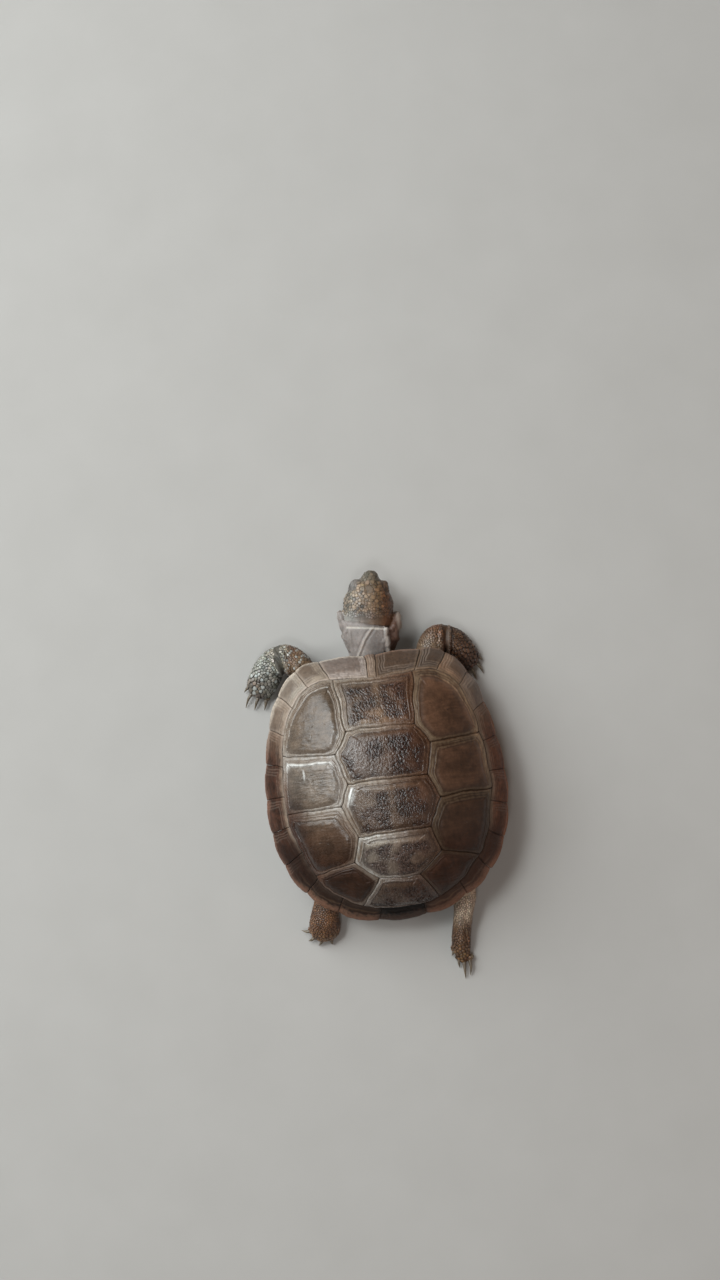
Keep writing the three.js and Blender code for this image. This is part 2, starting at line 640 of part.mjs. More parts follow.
for (const [name, { stations, claws }] of Object.entries(LEGS)) {
  const leg = cut(limb(stations, 10, 10), trunkRoom, bellyRoom);
  add(`leg_${name}`, meshOf(trimmed(solidOf(leg).subtract(clawSet(claws, GAP)))), SKIN_TINT, 0.8);
  add(`claws_${name}`, meshOf(clawSet(claws, 0)), CLAW_TINT, 0.45);
}

export default group;
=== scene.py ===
import math

import bmesh
import bpy
import numpy as np
from mathutils import Matrix, Vector
from mathutils.bvhtree import BVHTree
from mathutils.kdtree import KDTree


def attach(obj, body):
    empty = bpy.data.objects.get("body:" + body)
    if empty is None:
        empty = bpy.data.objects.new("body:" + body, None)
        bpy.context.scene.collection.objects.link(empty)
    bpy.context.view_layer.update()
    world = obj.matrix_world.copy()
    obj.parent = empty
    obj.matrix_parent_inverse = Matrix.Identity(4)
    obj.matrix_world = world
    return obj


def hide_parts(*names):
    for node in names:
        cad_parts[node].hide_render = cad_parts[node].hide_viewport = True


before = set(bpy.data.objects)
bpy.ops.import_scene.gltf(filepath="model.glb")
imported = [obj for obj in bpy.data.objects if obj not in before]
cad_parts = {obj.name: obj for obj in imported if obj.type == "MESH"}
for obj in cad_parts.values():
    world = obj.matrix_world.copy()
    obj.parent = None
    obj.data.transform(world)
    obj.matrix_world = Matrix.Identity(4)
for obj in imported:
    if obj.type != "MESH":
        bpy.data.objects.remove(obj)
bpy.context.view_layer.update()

# ---- sizes in millimetres, as in the CAD ----
MM = 0.001
SHELL_TOP = 29.2
PLATE = 1.8
PLASTRON = 2.0
SHELL_MID_AHEAD = 0.4
MID_LEFT = 1.2
MID_AHEAD = 1.78
DOME_ROUND = 2.35
DOME_STEEP = 0.72
# every 15 degrees from the front of the shell to its back, the same on both sides
RIM_RADIUS = [30.4, 31.6, 33.9, 32.4, 29.8, 28.3, 28.1, 28.8, 30.1, 31.3, 31.7, 31.6, 31.3]
RIM_HEIGHT = [13, 12.9, 12.6, 11.4, 10.2, 9.6, 9.4, 9.3, 9.3, 9.6, 9.6, 9.0, 8.6]
SEAM_SHARE = [0.813, 0.823, 0.847, 0.867, 0.865, 0.855, 0.845, 0.84, 0.835, 0.845, 0.875, 0.895, 0.89]
BELLY_RADIUS = [26.6, 26.2, 22.6, 20.4, 20.8, 21, 21, 21, 21.2, 21.4, 23, 24.4, 22.6]
# corners of the plates on top, as (ahead, left); the others are degrees from straight ahead
VERTEBRAL_SEAM = [(13.5, 8), (1.7, 8.8), (-10.1, 8.3), (-20.4, 4.5)]
COSTAL_CORNER = [(8.4, 11), (-3.4, 11.4), (-15.9, 10.1)]
COSTAL_END = [20, 67.5, 99.5, 134.5, 161]
MARGINAL_SEAM = [2.4, 21.5, 31.5, 43.5, 57, 73, 90, 106, 121, 136, 151, 170]
SEAM_HALF = 0.035


# ---- numbers, noise and colour ----
def place(left, ahead, up):
    """Points in the shared frame, in mm, from distances left of the keel, ahead of the middle and up."""
    left, ahead, up = np.broadcast_arrays(
        np.asarray(left, float), np.asarray(ahead, float), np.asarray(up, float)
    )
    return np.stack([left - MID_LEFT, MID_AHEAD - ahead, up], -1)


def body_of_point(p):
    """Left of the keel, ahead of the middle and up, from points in the shared frame."""
    return p[..., 0] + MID_LEFT, MID_AHEAD - p[..., 1], p[..., 2]


def mix(a, b, t):
    return a + (b - a) * t


def smooth(lo, hi, x):
    t = np.clip((np.asarray(x, float) - lo) / (hi - lo), 0, 1)
    return t * t * (3 - 2 * t)


def bell(x, width):
    return np.exp(-((np.asarray(x, float) / width) ** 2))


def unit(v):
    return v / np.maximum(np.linalg.norm(v, axis=-1), 1e-12)[..., None]


def catmull(a, b, c, d, t):
    return b + 0.5 * t * (c - a + t * (2 * a - 5 * b + 4 * c - d + t * (3 * (b - c) + d - a)))


def around(values, degrees):
    """Smooth curve through values set every 15 degrees, the same on both sides."""
    v = np.asarray(values, float)
    n = len(v)
    folded = np.abs((np.asarray(degrees, float) + 180) % 360 - 180)
    x = folded / 15
    i = np.minimum(x.astype(int), n - 2)

    def at(k):
        return v[np.where(k < 0, -k, np.where(k >= n, 2 * n - 2 - k, k))]

    return catmull(at(i - 1), at(i), at(i + 1), at(i + 2), x - i)


def resample(rows, count):
    rows = np.asarray(rows, float)
    x = np.linspace(0, len(rows) - 1, count + 1)
    i = np.minimum(x.astype(int), len(rows) - 2)
    t = (x - i)[:, None]

    def at(k):
        return rows[np.clip(k, 0, len(rows) - 1)]

    return catmull(at(i - 1), at(i), at(i + 1), at(i + 2), t)


_perm = np.random.default_rng(11).permutation(256)
_perm = np.concatenate([_perm, _perm, _perm])
_grad = unit(np.random.default_rng(12).normal(size=(256, 3)))


def noise(p, scale=1.0, seed=0):
    """Gradient noise at points in mm; scale is in cycles per mm, or one number for each axis."""
    p = np.asarray(p, float) * scale + seed * 17.31
    cell = np.floor(p).astype(np.int64)
    f = p - cell
    u = f * f * f * (f * (f * 6 - 15) + 10)
    cell &= 255
    total = 0
    for dx in (0, 1):
        ix = _perm[cell[..., 0] + dx]
        wx = u[..., 0] if dx else 1 - u[..., 0]
        for dy in (0, 1):
            iy = _perm[ix + cell[..., 1] + dy]
            wy = wx * (u[..., 1] if dy else 1 - u[..., 1])
            for dz in (0, 1):
                g = _grad[_perm[iy + cell[..., 2] + dz]]
                d = g[..., 0] * (f[..., 0] - dx) + g[..., 1] * (f[..., 1] - dy) + g[..., 2] * (f[..., 2] - dz)
                total = total + wy * (u[..., 2] if dz else 1 - u[..., 2]) * d
    return total * 1.7


def fbm(p, scale=1.0, seed=0, octaves=3):
    total, amp, full = 0, 1.0, 0
    for k in range(octaves):
        total = total + amp * noise(p, np.asarray(scale) * 2**k, seed + k)
        full += amp
        amp *= 0.55
    return total / full * 1.3


def rgb(*values):
    """Linear colour from sRGB values of 0 to 255."""
    v = np.asarray(values, float) / 255
    return np.where(v <= 0.04045, v / 12.92, ((v + 0.055) / 1.055) ** 2.4)


def blend(a, b, t):
    t = np.clip(np.asarray(t, float), 0, 1)[..., None]
    return a * (1 - t) + b * t


def paint(tint, *coats):
    """Coats laid over a colour in turn, each with its amount; a tuple or number is a factor on it."""
    for coat, amount in coats:
        if isinstance(coat, (tuple, float)):
            coat = tint * np.array(coat)
        tint = blend(tint, coat, amount)
    return tint


def flat(left, ahead):
    """Places in plan, for noise that is the same at every height."""
    return np.stack([left, ahead, np.zeros_like(left)], -1)


# ---- meshes ----
def set_tint(mesh, tint):
    layer = mesh.color_attributes.new("tint", "FLOAT_COLOR", "POINT")
    rgba = np.ones((len(mesh.vertices), 4), np.float32)
    rgba[:, :3] = np.clip(tint, 0, 1)
    layer.data.foreach_set("color", rgba.ravel())


def build_mesh(name, points, face_sets, scale=MM):
    mesh = bpy.data.meshes.new(name)
    points = np.asarray(points, float) * scale
    face_sets = [np.asarray(f, np.int32) for f in face_sets if len(f)]
    loops = np.concatenate([f.ravel() for f in face_sets])
    sizes = np.concatenate([np.full(len(f), f.shape[1], np.int32) for f in face_sets])
    mesh.vertices.add(len(points))
    mesh.vertices.foreach_set("co", points.astype(np.float32).ravel())
    mesh.loops.add(len(loops))
    mesh.loops.foreach_set("vertex_index", loops)
    mesh.polygons.add(len(sizes))
    mesh.polygons.foreach_set("loop_start", np.concatenate([[0], np.cumsum(sizes)[:-1]]).astype(np.int32))
    mesh.polygons.foreach_set("use_smooth", np.ones(len(sizes), bool))
    mesh.update(calc_edges=True)
    return mesh


def add_object(name, data):
    o = bpy.data.objects.new(name, data)
    bpy.context.scene.collection.objects.link(o)
    return o


def take_part(o, nodes):
    """The object rides the one body and stands in for CAD nodes."""
    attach(o, "root")
    if nodes:
        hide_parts(*nodes)
    return o


def piece_of(name, points, face_sets, tint, material, nodes):
    mesh = build_mesh(name, points, face_sets)
    set_tint(mesh, tint)
    mesh.materials.append(material)
    return take_part(add_object(name, mesh), nodes)


def rows_mesh(rows):
    """Points, quads and triangles of a closed skin over rows of equal length, turned to face outward."""
    n, m = rows.shape[:2]
    i, k = np.meshgrid(np.arange(n - 1), np.arange(m), indexing="ij")
    a, b = i * m + k, i * m + (k + 1) % m
    quads = np.stack([a, b, b + m, a + m], -1).reshape(-1, 4)
    ring = np.arange(m)
    after = (ring + 1) % m
    last = (n - 1) * m
    tris = np.concatenate([np.stack([after, ring, np.full(m, n * m)], -1),
                           np.stack([last + ring, last + after, np.full(m, n * m + 1)], -1)])
    points = np.concatenate([rows.reshape(-1, 3), [rows[0].mean(0), rows[-1].mean(0)]])
    volume = 0.0
    for f in (quads[:, [0, 1, 2]], quads[:, [0, 2, 3]], tris):
        volume += np.einsum("ij,ij->i", points[f[:, 0]], np.cross(points[f[:, 1]], points[f[:, 2]])).sum()
    if volume < 0:
        quads, tris = quads[:, ::-1], tris[:, ::-1]
    return points, quads, tris


def joined(meshes):
    """Several closed skins as one list of points, quads and triangles."""
    shifts = np.cumsum([0] + [len(p) for p, _, _ in meshes])
    return (np.concatenate([p for p, _, _ in meshes]),
            np.concatenate([q + shift for (_, q, _), shift in zip(meshes, shifts)]),
            np.concatenate([t + shift for (_, _, t), shift in zip(meshes, shifts)]))


# ---- materials ----
def add_node(tree, kind, values={}, operation=None):
    """A shader node with some of its inputs set, or linked where the value is a socket."""
    n = tree.nodes.new("ShaderNode" + kind)
    if operation:
        n.operation = operation
    for name, value in values.items():
        if isinstance(value, bpy.types.NodeSocket):
            tree.links.new(value, n.inputs[name])
        else:
            n.inputs[name].default_value = value
    return n


def new_material(name):
    m = bpy.data.materials.new(name)
    m.use_nodes = True
    m.node_tree.nodes.clear()
    out = add_node(m.node_tree, "OutputMaterial")
    shader = add_node(m.node_tree, "BsdfPrincipled")
    m.node_tree.links.new(shader.outputs[0], out.inputs["Surface"])
    return m, m.node_tree, shader


def noise_of(tree, coord, scale, detail, rough=0.55):
    values = {"Vector": coord, "Scale": scale, "Detail": detail, "Roughness": rough}
    return add_node(tree, "TexNoise", values).outputs["Fac"]


def map_range(tree, value, lo, hi, to_lo, to_hi):
    values = {"Value": value, "From Min": lo, "From Max": hi, "To Min": to_lo, "To Max": to_hi}
    return add_node(tree, "MapRange", values).outputs["Result"]


BROAD_SCALE = 420
BROAD_RANGE = (0.88, 1.12)
GLOSS_RANGE = (-0.08, 0.12)
BUMP_STRENGTH = 0.7


def painted_material(name, rough, fine, bump, spread, stretch=(1, 1, 1), cells=0.0, specular=0.5, more={}):
    """The painted colour, varied by broad and fine noise, with uneven gloss and a fine bump."""
    m, tree, shader = new_material(name)
    coord = add_node(tree, "TexCoord").outputs["Object"]
    stretched = add_node(tree, "Mapping", {"Vector": coord, "Scale": stretch}).outputs[0]
    tint = add_node(tree, "Attribute")
    tint.attribute_name = "tint"
    broad = noise_of(tree, coord, BROAD_SCALE, 4)
    grain = noise_of(tree, stretched, fine, 5, 0.65)
    vary = add_node(tree, "Math", {0: map_range(tree, broad, 0.25, 0.75, *BROAD_RANGE),
                                   1: map_range(tree, grain, 0.25, 0.75, 1 - spread, 1 + spread)}, "MULTIPLY")
    colour = add_node(tree, "VectorMath", {0: tint.outputs["Color"], "Scale": vary.outputs[0]}, "SCALE")
    tree.links.new(colour.outputs[0], shader.inputs["Base Color"])
    gloss = map_range(tree, grain, 0.3, 0.7, rough + GLOSS_RANGE[0], rough + GLOSS_RANGE[1])
    tree.links.new(gloss, shader.inputs["Roughness"])
    height = grain
    if cells:
        voronoi = add_node(tree, "TexVoronoi")
        voronoi.feature = "SMOOTH_F1"
        voronoi.inputs["Scale"].default_value = cells
        tree.links.new(coord, voronoi.inputs["Vector"])
        height = add_node(tree, "Math", {0: grain, 1: voronoi.outputs["Distance"]}, "SUBTRACT").outputs[0]
    bumped = add_node(tree, "Bump", {"Strength": BUMP_STRENGTH, "Distance": bump, "Height": height})
    tree.links.new(bumped.outputs[0], shader.inputs["Normal"])
    for key, value in {"Specular IOR Level": specular, **more}.items():
        shader.inputs[key].default_value = value
    return m


# name, roughness, scale of the grain, depth of the bump, spread of the colour, stretch, cells, specular
HORN = painted_material("shell_horn", 0.27, 2300, 0.00006, 0.2, (0.8, 1.3, 1.0), 0.0, 0.55)
HORN_REAR = painted_material("shell_horn_rear", 0.42, 2300, 0.00006, 0.2, (0.8, 1.3, 1.0), 0.0, 0.25)
FLANK_HORN = painted_material("flank_horn", 0.55, 2300, 0.00006, 0.22, (1, 1, 1), 0.0, 0.15)
HORN_PITTED = painted_material("shell_horn_pitted", 0.21, 2400, 0.00012, 0.3, (1.5, 0.6, 1.0), 0.0, 0.55)
EDGE_HORN = painted_material("rim_horn", 0.46, 2300, 0.00006, 0.22)
BELLY_HORN = painted_material("belly_horn", 0.45, 1500, 0.00006, 0.15)
SKIN = painted_material("skin", 0.5, 3200, 0.00005, 0.12, (1, 1, 1), 5200, 0.4,
                        {"Subsurface Weight": 0.08, "Subsurface Radius": (0.0012, 0.0006, 0.0004)})
SCALE_HORN = painted_material("scale_horn", 0.37, 4200, 0.00003, 0.18, (1, 1, 1), 0.0, 0.65)
CLAW_HORN = painted_material("claw_horn", 0.3, 3000, 0.00003, 0.15, (1.6, 0.5, 1))
EYE_WET = painted_material("eye_wet", 0.14, 3500, 0.000005, 0.1,
                           more={"Coat Weight": 1.0, "Coat Roughness": 0.03})


# ---- the dome ----
def polar(radius, degrees):
    """Left and ahead, from a distance and a turn round the middle of the shell."""
    turn = np.radians(degrees)
    return radius * np.sin(turn), SHELL_MID_AHEAD + radius * np.cos(turn)


def turn_and_share(left, ahead):
    """Turn round the middle of the shell in degrees, and distance from it as a share of the rim's."""
    degrees = np.degrees(np.arctan2(left, ahead - SHELL_MID_AHEAD))
    return degrees, np.hypot(left, ahead - SHELL_MID_AHEAD) / around(RIM_RADIUS, degrees)


def dome_height(left, ahead):
    degrees, share = turn_and_share(left, ahead)
    rim = around(RIM_HEIGHT, degrees)
    rise = (1 - np.minimum(share, 0.99999) ** DOME_ROUND) ** DOME_STEEP
    return rim + (SHELL_TOP - rim) * rise


def dome_normal(left, ahead, step=0.15):
    dl = (dome_height(left + step, ahead) - dome_height(left - step, ahead)) / (2 * step)
    da = (dome_height(left, ahead + step) - dome_height(left, ahead - step)) / (2 * step)
    return unit(np.stack([-dl, da, np.ones_like(dl)], -1))


def on_dome(left, ahead, lift):
    lift = np.broadcast_to(lift, np.shape(left))[..., None]
    return place(left, ahead, dome_height(left, ahead)) + dome_normal(left, ahead) * lift


def waver(left, ahead):
    """Small wander of the seams, the same for both plates that share one."""
    p = flat(left, ahead)
    return [noise(p, 0.17, seed) * size + noise(p, 0.6, seed + 1) * 0.12
            for seed, size in ((3, 0.55), (5, 0.5))]


def horn_light_and_shade(left, ahead):
    """Factor on the horn's colour that paints light and shade: a painted sheen greyer on the left, painted
    shade browner and darker on the right, and a painted shadow dark on the left flank.
    """
    right = smooth(6, -9, left)
    return paint(
        blend(np.array([0.9, 1.0, 1.05]), np.array([0.68, 0.54, 0.48]), right),
        (0.66, smooth(-1, -7, ahead) * right),
        (1.2, smooth(2, 14, ahead) * right),
        ((1.42, 1.6, 1.85), smooth(8.5, 12, left) * bell(ahead - 3.5, 6.5)),
        (np.array([0.27, 0.18, 0.15]), 0.9 * smooth(16.5, 21.5, left) * smooth(5, -5, ahead)),
        ((0.74, 0.6, 0.55), smooth(-4, -9, ahead) * smooth(7, 13, left)),
    )


DARK_BROWN = rgb(56, 40, 35)
BLACK_BROWN = rgb(42, 29, 22)
WARM_BROWN = rgb(88, 66, 50)
GREY_BROWN = rgb(98, 80, 65)
TAN = rgb(122, 98, 78)
PALE_TAN = rgb(160, 143, 129)
PINK_TAN = rgb(164, 132, 112)
RED_BROWN = rgb(72, 45, 32)
OLIVE = rgb(112, 96, 76)
CRACK = rgb(46, 34, 27)
# white of the painted highlights on raised edges, and of a pale scratch
HIGHLIGHT_AND_SCRATCH_WHITE = rgb(226, 226, 222)


def rear_dark(left, ahead):
    """How far the dark brown of the hind part of the shell has set in."""
    edge = -9.5 + 0.006 * left**2
    return smooth(0, -8, ahead - edge + 2.2 * noise(flat(left, ahead), 0.13, 41))


def dense(corners, step):
    corners = np.asarray(corners, float)
    out = []
    for a, b in zip(corners, np.roll(corners, -1, 0)):
        n = max(1, int(round(np.linalg.norm(b - a) / step)))
        out.append(a + (b - a) * (np.arange(n) / n)[:, None])
    return np.concatenate(out)


def seam_arc(lo, hi, pieces, side):
    degrees = np.linspace(lo, hi, pieces + 1)
    left, ahead = polar(around(RIM_RADIUS, degrees) * around(SEAM_SHARE, degrees), degrees)
    return np.stack([side * left, ahead], -1)


def ring_blur(values, width):
    """Values round a closed loop, smoothed along it."""
    n = len(values)
    w = np.exp(-((np.minimum(np.arange(n), n - np.arange(n)) / width) ** 2))
    w = np.fft.rfft(w / w.sum()).reshape(-1, *[1] * (values.ndim - 1))
    return np.fft.irfft(np.fft.rfft(values, axis=0) * w, n, axis=0)


def loop_blur(loop, width):
    """The loop smoothed along itself, keeping its size."""
    soft = ring_blur(loop, width)
    mid = loop.mean(0)
    grow = np.linalg.norm(loop - mid, axis=1).mean() / np.linalg.norm(soft - mid, axis=1).mean()
    return mid + (soft - mid) * grow


# for each kind of plate: step along its edge, rows in its middle, rows in its margin, rings in the margin
PLATE_KINDS = {"vertebral": (0.22, 60, 30, (0.0, 0.5)), "costal": (0.3, 36, 34, (0.0, 0.3, 0.6))}
WALL_DEPTHS = (-0.5, -1.0, -PLATE)
UNDERSIDE_SHARES = (0.8, 0.55, 0.3)
RING_PITCH = 0.27
REAR_DARK_SHARE = {"vertebral_4": 0.3, "vertebral_5": 0.6}


def seed_of(name):
    return sum(ord(ch) for ch in name) % 50


def dome_plate(name, corners, middle, margins, kind, side=1):
    """One horn plate: an old areola in the middle and growth rings round it, on the dome."""
    vertebral = kind == "vertebral"
    step, inner_rows, ring_rows, rings = PLATE_KINDS[kind]
    seed = seed_of(name)
    outline = dense(corners, step)
    along = unit(np.roll(outline, -1, 0) - np.roll(outline, 1, 0))
    inward = np.stack([-along[:, 1], along[:, 0]], -1)
    if np.sum(inward * (outline.mean(0) - outline)) < 0:
        inward = -inward
    edge = outline + inward * SEAM_HALF
    edge = mix(edge, loop_blur(edge, 2.0), 0.6)
    soft = loop_blur(edge, 6.0)
    centre = np.asarray(middle, float)
    # margin of new horn, by the way that each part of the edge faces
    reach = edge - centre
    length = np.linalg.norm(reach, axis=1)
    face = -inward * [side, 1]
    front, rear, inner, outer = margins
    sides = ((face[:, 0], outer), (-face[:, 0], inner), (face[:, 1], front), (-face[:, 1], rear))
    margin = ring_blur(sum(np.maximum(faces, 0) ** 2 * width for faces, width in sides), 7.0)
    cosine = np.clip(np.abs(np.einsum("ij,ij->i", unit(reach), inward)), 0.5, 1)
    start = 1 - np.minimum(margin / (length * cosine), 0.7)
    # t runs from the centre to the edge; r is below 0 in the areola and runs from 0 to 1 over the margin
    steps = np.arange(1, inner_rows) / inner_rows
    ring = np.arange(ring_rows + 1) / ring_rows
    t = np.concatenate([steps[:, None] * start, start + (1 - start) * ring[:, None]])
    r = np.repeat(np.concatenate([steps - 1, ring])[:, None], len(edge), 1)
    sharp = smooth(0.2, 1.0, r)[..., None]
    plan = centre + t[..., None] * (mix(soft[None], edge[None], sharp) - centre)
    wander = waver(plan[..., 0], plan[..., 1])
    left, ahead = plan[..., 0] + wander[0], plan[..., 1] + wander[1]
    level = flat(left, ahead)
    to_edge = (1 - np.maximum(r, 0)) * margin[None] + (r < 0) * 9
    # relief: a raised areola, steps of the growth rings, a rounded edge and a worn, pitted surface
    areola = 1 - smooth(-0.1, 0.12, r)
    lift = 0.22 * (1 - smooth(-0.1, 1.0, r)) + 0.08
    weak = mix(0.6, 1.0, smooth(0.7, 1.3, margin))[None]
    calm = mix(1, 0.4, smooth(0, -9, left))
    ring_lines = []
    for n, at in enumerate(rings):
        wobble = noise(level, 0.25, seed + n) * 0.1 * (n > 0)
        d = (r - at - wobble) * margin[None] + (r < -0.4) * 9
        ring_lines.append(d)
        strong = 1.0 if n == 0 else 0.45
        lift = lift + strong * weak * calm * (0.09 * bell(d - 0.25, 0.17) - 0.1 * bell(d, 0.1))
        lift = lift - 0.03 * smooth(-0.05, 0.05, d) * (r > -0.3)
    away = np.maximum(r, 0) * margin[None]
    lift = lift + 0.012 * np.sin(away * 2 * np.pi / RING_PITCH + noise(level, 0.5, seed) * 2) * (r > 0)
    lift = lift + 0.05 * bell(to_edge - 0.3, 0.2) - 0.12 * bell(to_edge, 0.08)
    # the rounded shoulder of the areola
    out_of = (t - start) * (length * cosine)[None]
    lift = lift + 0.2 * (1 - smooth(-1.1, 0.2, out_of))
    if vertebral:
        worm = fbm(level, (2.6, 0.95, 1), seed + 9, 2)
        pits = np.clip(0.9 - np.abs(worm) * 3.4, 0, 1)
        to_front = (edge[:, 1].max() - front - plan[..., 1]) + 0.35 * noise(
            flat(plan[..., 0], plan[..., 1]), 0.5, 77)
        worn = smooth(0.5, 1.7, to_front) * areola
        worn = worn * (0.35 + 0.65 * smooth(-0.5, 0.1, noise(level, 0.28, seed + 12)))
        if name == "vertebral_1":
            worn = worn * smooth(13.6, 15.4, ahead + 1.2 * noise(level, 0.5, 5))
        pits = pits * (0.06 + 0.94 * worn)
        lift = lift - 0.2 * pits + 0.05 * np.maximum(7 - np.hypot(left, 0.7), 0)
    else:
        worm = fbm(level, (0.9, 2.2, 1), seed + 9, 2)
        pits = np.clip(np.abs(worm) * 2.0, 0, 1)
        lift = lift + 0.03 * (pits - 0.5) + 0.03 * noise(level, (0.5, 2.2, 1), seed + 6) * areola
        # old scratches and dents in the areola
        marks = np.random.default_rng(seed)
        for _ in range(5):
            at_mark = centre + marks.normal(size=2) * (2.6, 2.2)
            way = marks.uniform(0, np.pi)
            dl, da = left - at_mark[0], ahead - at_mark[1]
            x = dl * np.cos(way) + da * np.sin(way)
            y = -dl * np.sin(way) + da * np.cos(way)
            lift = lift - 0.08 * bell(y + 0.12 * x * x, 0.1) * bell(x, marks.uniform(0.25, 1.1))
    lift = lift + 0.07 * noise(level, 0.22, seed + 3) + 0.035 * noise(level, (1.1, 0.7, 1), seed + 4)
    walls = [on_dome(left[-1], ahead[-1], depth) for depth in WALL_DEPTHS]
    for share in UNDERSIDE_SHARES:
        u = centre + share * (plan[-1] - centre)
        walls.append(on_dome(u[:, 0], u[:, 1], -PLATE))
    points, quads, tris = rows_mesh(np.concatenate([on_dome(left, ahead, lift), np.array(walls)]))
    points[-2] = on_dome(centre[:1], centre[1:], lift[0].mean())[0]
    # colour of the areola, the rings and the pale new edge
    n1 = fbm(level, 0.3, seed + 20)
    n2 = fbm(level, (1.6, 0.8, 1), seed + 30)
    n3 = noise(level, (0.35, 2.0, 1), seed + 35)
    if vertebral:
        core = mix(DARK_BROWN, WARM_BROWN, 0.3)
        # the pits painted darker and the horn between them lighter: painted shade and light on the pitted
        # relief
        core = paint(
            blend(core * 1.6, core * 0.2, 0.25 - n1 * 0.4 + pits * 0.9),
            (TAN * 1.1, 0.4 * bell(left + 0.3, 0.9) * smooth(-14, -2, ahead)),
            (TAN * (0.95 + 0.3 * n2)[..., None], 0.6 * (1 - worn) * areola),
        )
    else:
        core = mix(WARM_BROWN, GREY_BROWN, 0.6)
        core = blend(core * 0.62, core * 1.25, 0.5 + n1 * 0.8 + n2 * 0.3 + n3 * 0.35)
    new_horn = mix(WARM_BROWN, TAN, 0.25 if vertebral else 0.3)
    new_horn = blend(new_horn * 0.78, new_horn * 1.25, 0.5 + n1 * 0.6 + n2 * 0.5)
    tint = blend(core, new_horn, smooth(-0.08, 0.15, r))
    for n, d in enumerate(ring_lines):
        strong = 0.42 if n == 0 else 0.2
        tint = paint(tint, (PALE_TAN, strong * bell(d - 0.25, 0.2) * (0.8 + 0.9 * n2)),
                     (CRACK, strong * 0.8 * bell(d, 0.09) * (0.8 + 0.9 * n1)))
    band = 0.62 + 0.12 * n1
    at_rim = smooth(band + 0.3, band - 0.25, to_edge) * (r > 0)
    tint = blend(tint, blend(TAN, PALE_TAN, 0.6 + 0.7 * n2), 0.75 * at_rim)
    # painted light and shade laid over the horn's colour
    tint = tint * horn_light_and_shade(left, ahead)
    # painted shade: the pale new horn on the right made darker
    new_horn_in_painted_shade = np.minimum(at_rim + smooth(-0.1, 0.2, r), 1) * smooth(2, -9, left)
    tint = paint(tint, ((0.42, 0.35, 0.28), new_horn_in_painted_shade))
    # what is particular to single plates
    # painted highlight along the raised edge of the areola
    painted_highlight_edge = bell(ring_lines[0] - 0.28, 0.3) * (0.75 + 0.7 * n2)
    tint = paint(tint, *{
        "vertebral_1": [((1.5, 1.45, 1.35), areola * smooth(18.4, 16.6, ahead) * bell(left - 1.5, 5.0))],
        "vertebral_2": [((0.72, 0.66, 0.65), areola)],
        # painted highlight on the left corner of the third vertebral
        "vertebral_3": [(HIGHLIGHT_AND_SCRATCH_WHITE, np.minimum(1.5 * painted_highlight_edge, 1) * smooth(7.2, 8.6, left)
                         * bell(ahead + 0.2, 2.6))],
        # painted sheen: the fourth vertebral lighter and bluer, most on its areola
        "vertebral_4": [((1.45, 1.65, 1.85), 1), ((1.5, 1.65, 1.75), areola)],
        # painted sheen: the fifth vertebral lighter and bluer; its hind edge darker
        "vertebral_5": [((1.25, 1.35, 1.5), 1), ((0.42, 0.36, 0.33), smooth(-25.0, -26.6, ahead))],
        # painted highlight at the front edge of the second left costal, and a pale scratch on it
        "costal_l2": [(HIGHLIGHT_AND_SCRATCH_WHITE, 0.9 * np.maximum(0.85 * painted_highlight_edge * smooth(5.6, 7.4, ahead),
                                                    0.8 * bell(left - 18.3, 0.14) * bell(ahead - 4.9, 1.0)))],
    }.get(name, []))
    if name.startswith("costal_r"):
        olive = OLIVE * mix(0.55, 1.0, smooth(-14, 4, ahead))[..., None]
        for d in (*ring_lines, to_edge - 0.1):
            tint = paint(tint, (olive, 0.34 * bell(d - 0.36, 0.26) * (0.9 + 0.9 * n2)),
                         (0.5, 0.45 * bell(d - 0.02, 0.11)))
    # a pale margin on the right, a painted shadow darkening the margin on the left flank, and the dark hind
    # part, darker on the left as painted shadow
    degrees, share = turn_and_share(left, ahead)
    from_seam = around(SEAM_SHARE, degrees) - share
    blackish = blend(BLACK_BROWN * 0.7, BLACK_BROWN * 1.9, 0.35 + n1 * 0.4 + n2 * 0.4)
    # painted shadow: the dark of the hind part deeper on the left than on the right
    blackish = blackish * blend(np.array([1.3, 1.0, 0.85]), np.array([1.0, 0.75, 0.6]), smooth(-4, 8, left))
    dark = rear_dark(left, ahead) * REAR_DARK_SHARE.get(name, 1.0)
    tint = paint(
        tint,
        ((2.5, 2.6, 2.6), bell(from_seam - 0.04, 0.04) * smooth(-14, -16.5, left) * smooth(-8, 4, ahead)),
        # painted shadow on the left flank's margin
        ((0.6, 0.45, 0.37), bell(from_seam - 0.02, 0.05) * smooth(15, 19, left) * smooth(8, 2, ahead)),
        (blackish, dark * (0.92 - 0.5 * at_rim)),
        (CRACK, 0.45 * bell(to_edge, 0.07) * (0.5 + 1.3 * n1)),
    )
    full = np.concatenate([tint.reshape(-1, 3), np.tile(CRACK * 0.8, (len(points) - tint.size // 3, 1))])
    full[-2] = tint[0].mean(0)
    dull = name.endswith("4") or name.startswith("costal_r")
    material = HORN_PITTED if vertebral else HORN_REAR if dull else HORN
    return piece_of("shell_" + name, points, (quads, tris), full, material, [name])


def mirrored(half):
    half = [tuple(p) for p in half]
    return half + [(-x, y) for x, y in reversed(half)]


corner = [(left, ahead) for ahead, left in COSTAL_CORNER]
ends = [(left, ahead) for ahead, left in VERTEBRAL_SEAM]
halves = [
    [*seam_arc(0, COSTAL_END[0], 40, 1)[1:], ends[0]],
    *([ends[k], corner[k], ends[k + 1]] for k in range(3)),
    [ends[3], *seam_arc(COSTAL_END[4], 180, 40, 1)[:-1]],
]
VERTEBRAL_MID = [(0, 17.6), (0, 7.2), (0, -4.6), (0, -15.6), (0, -24.3)]
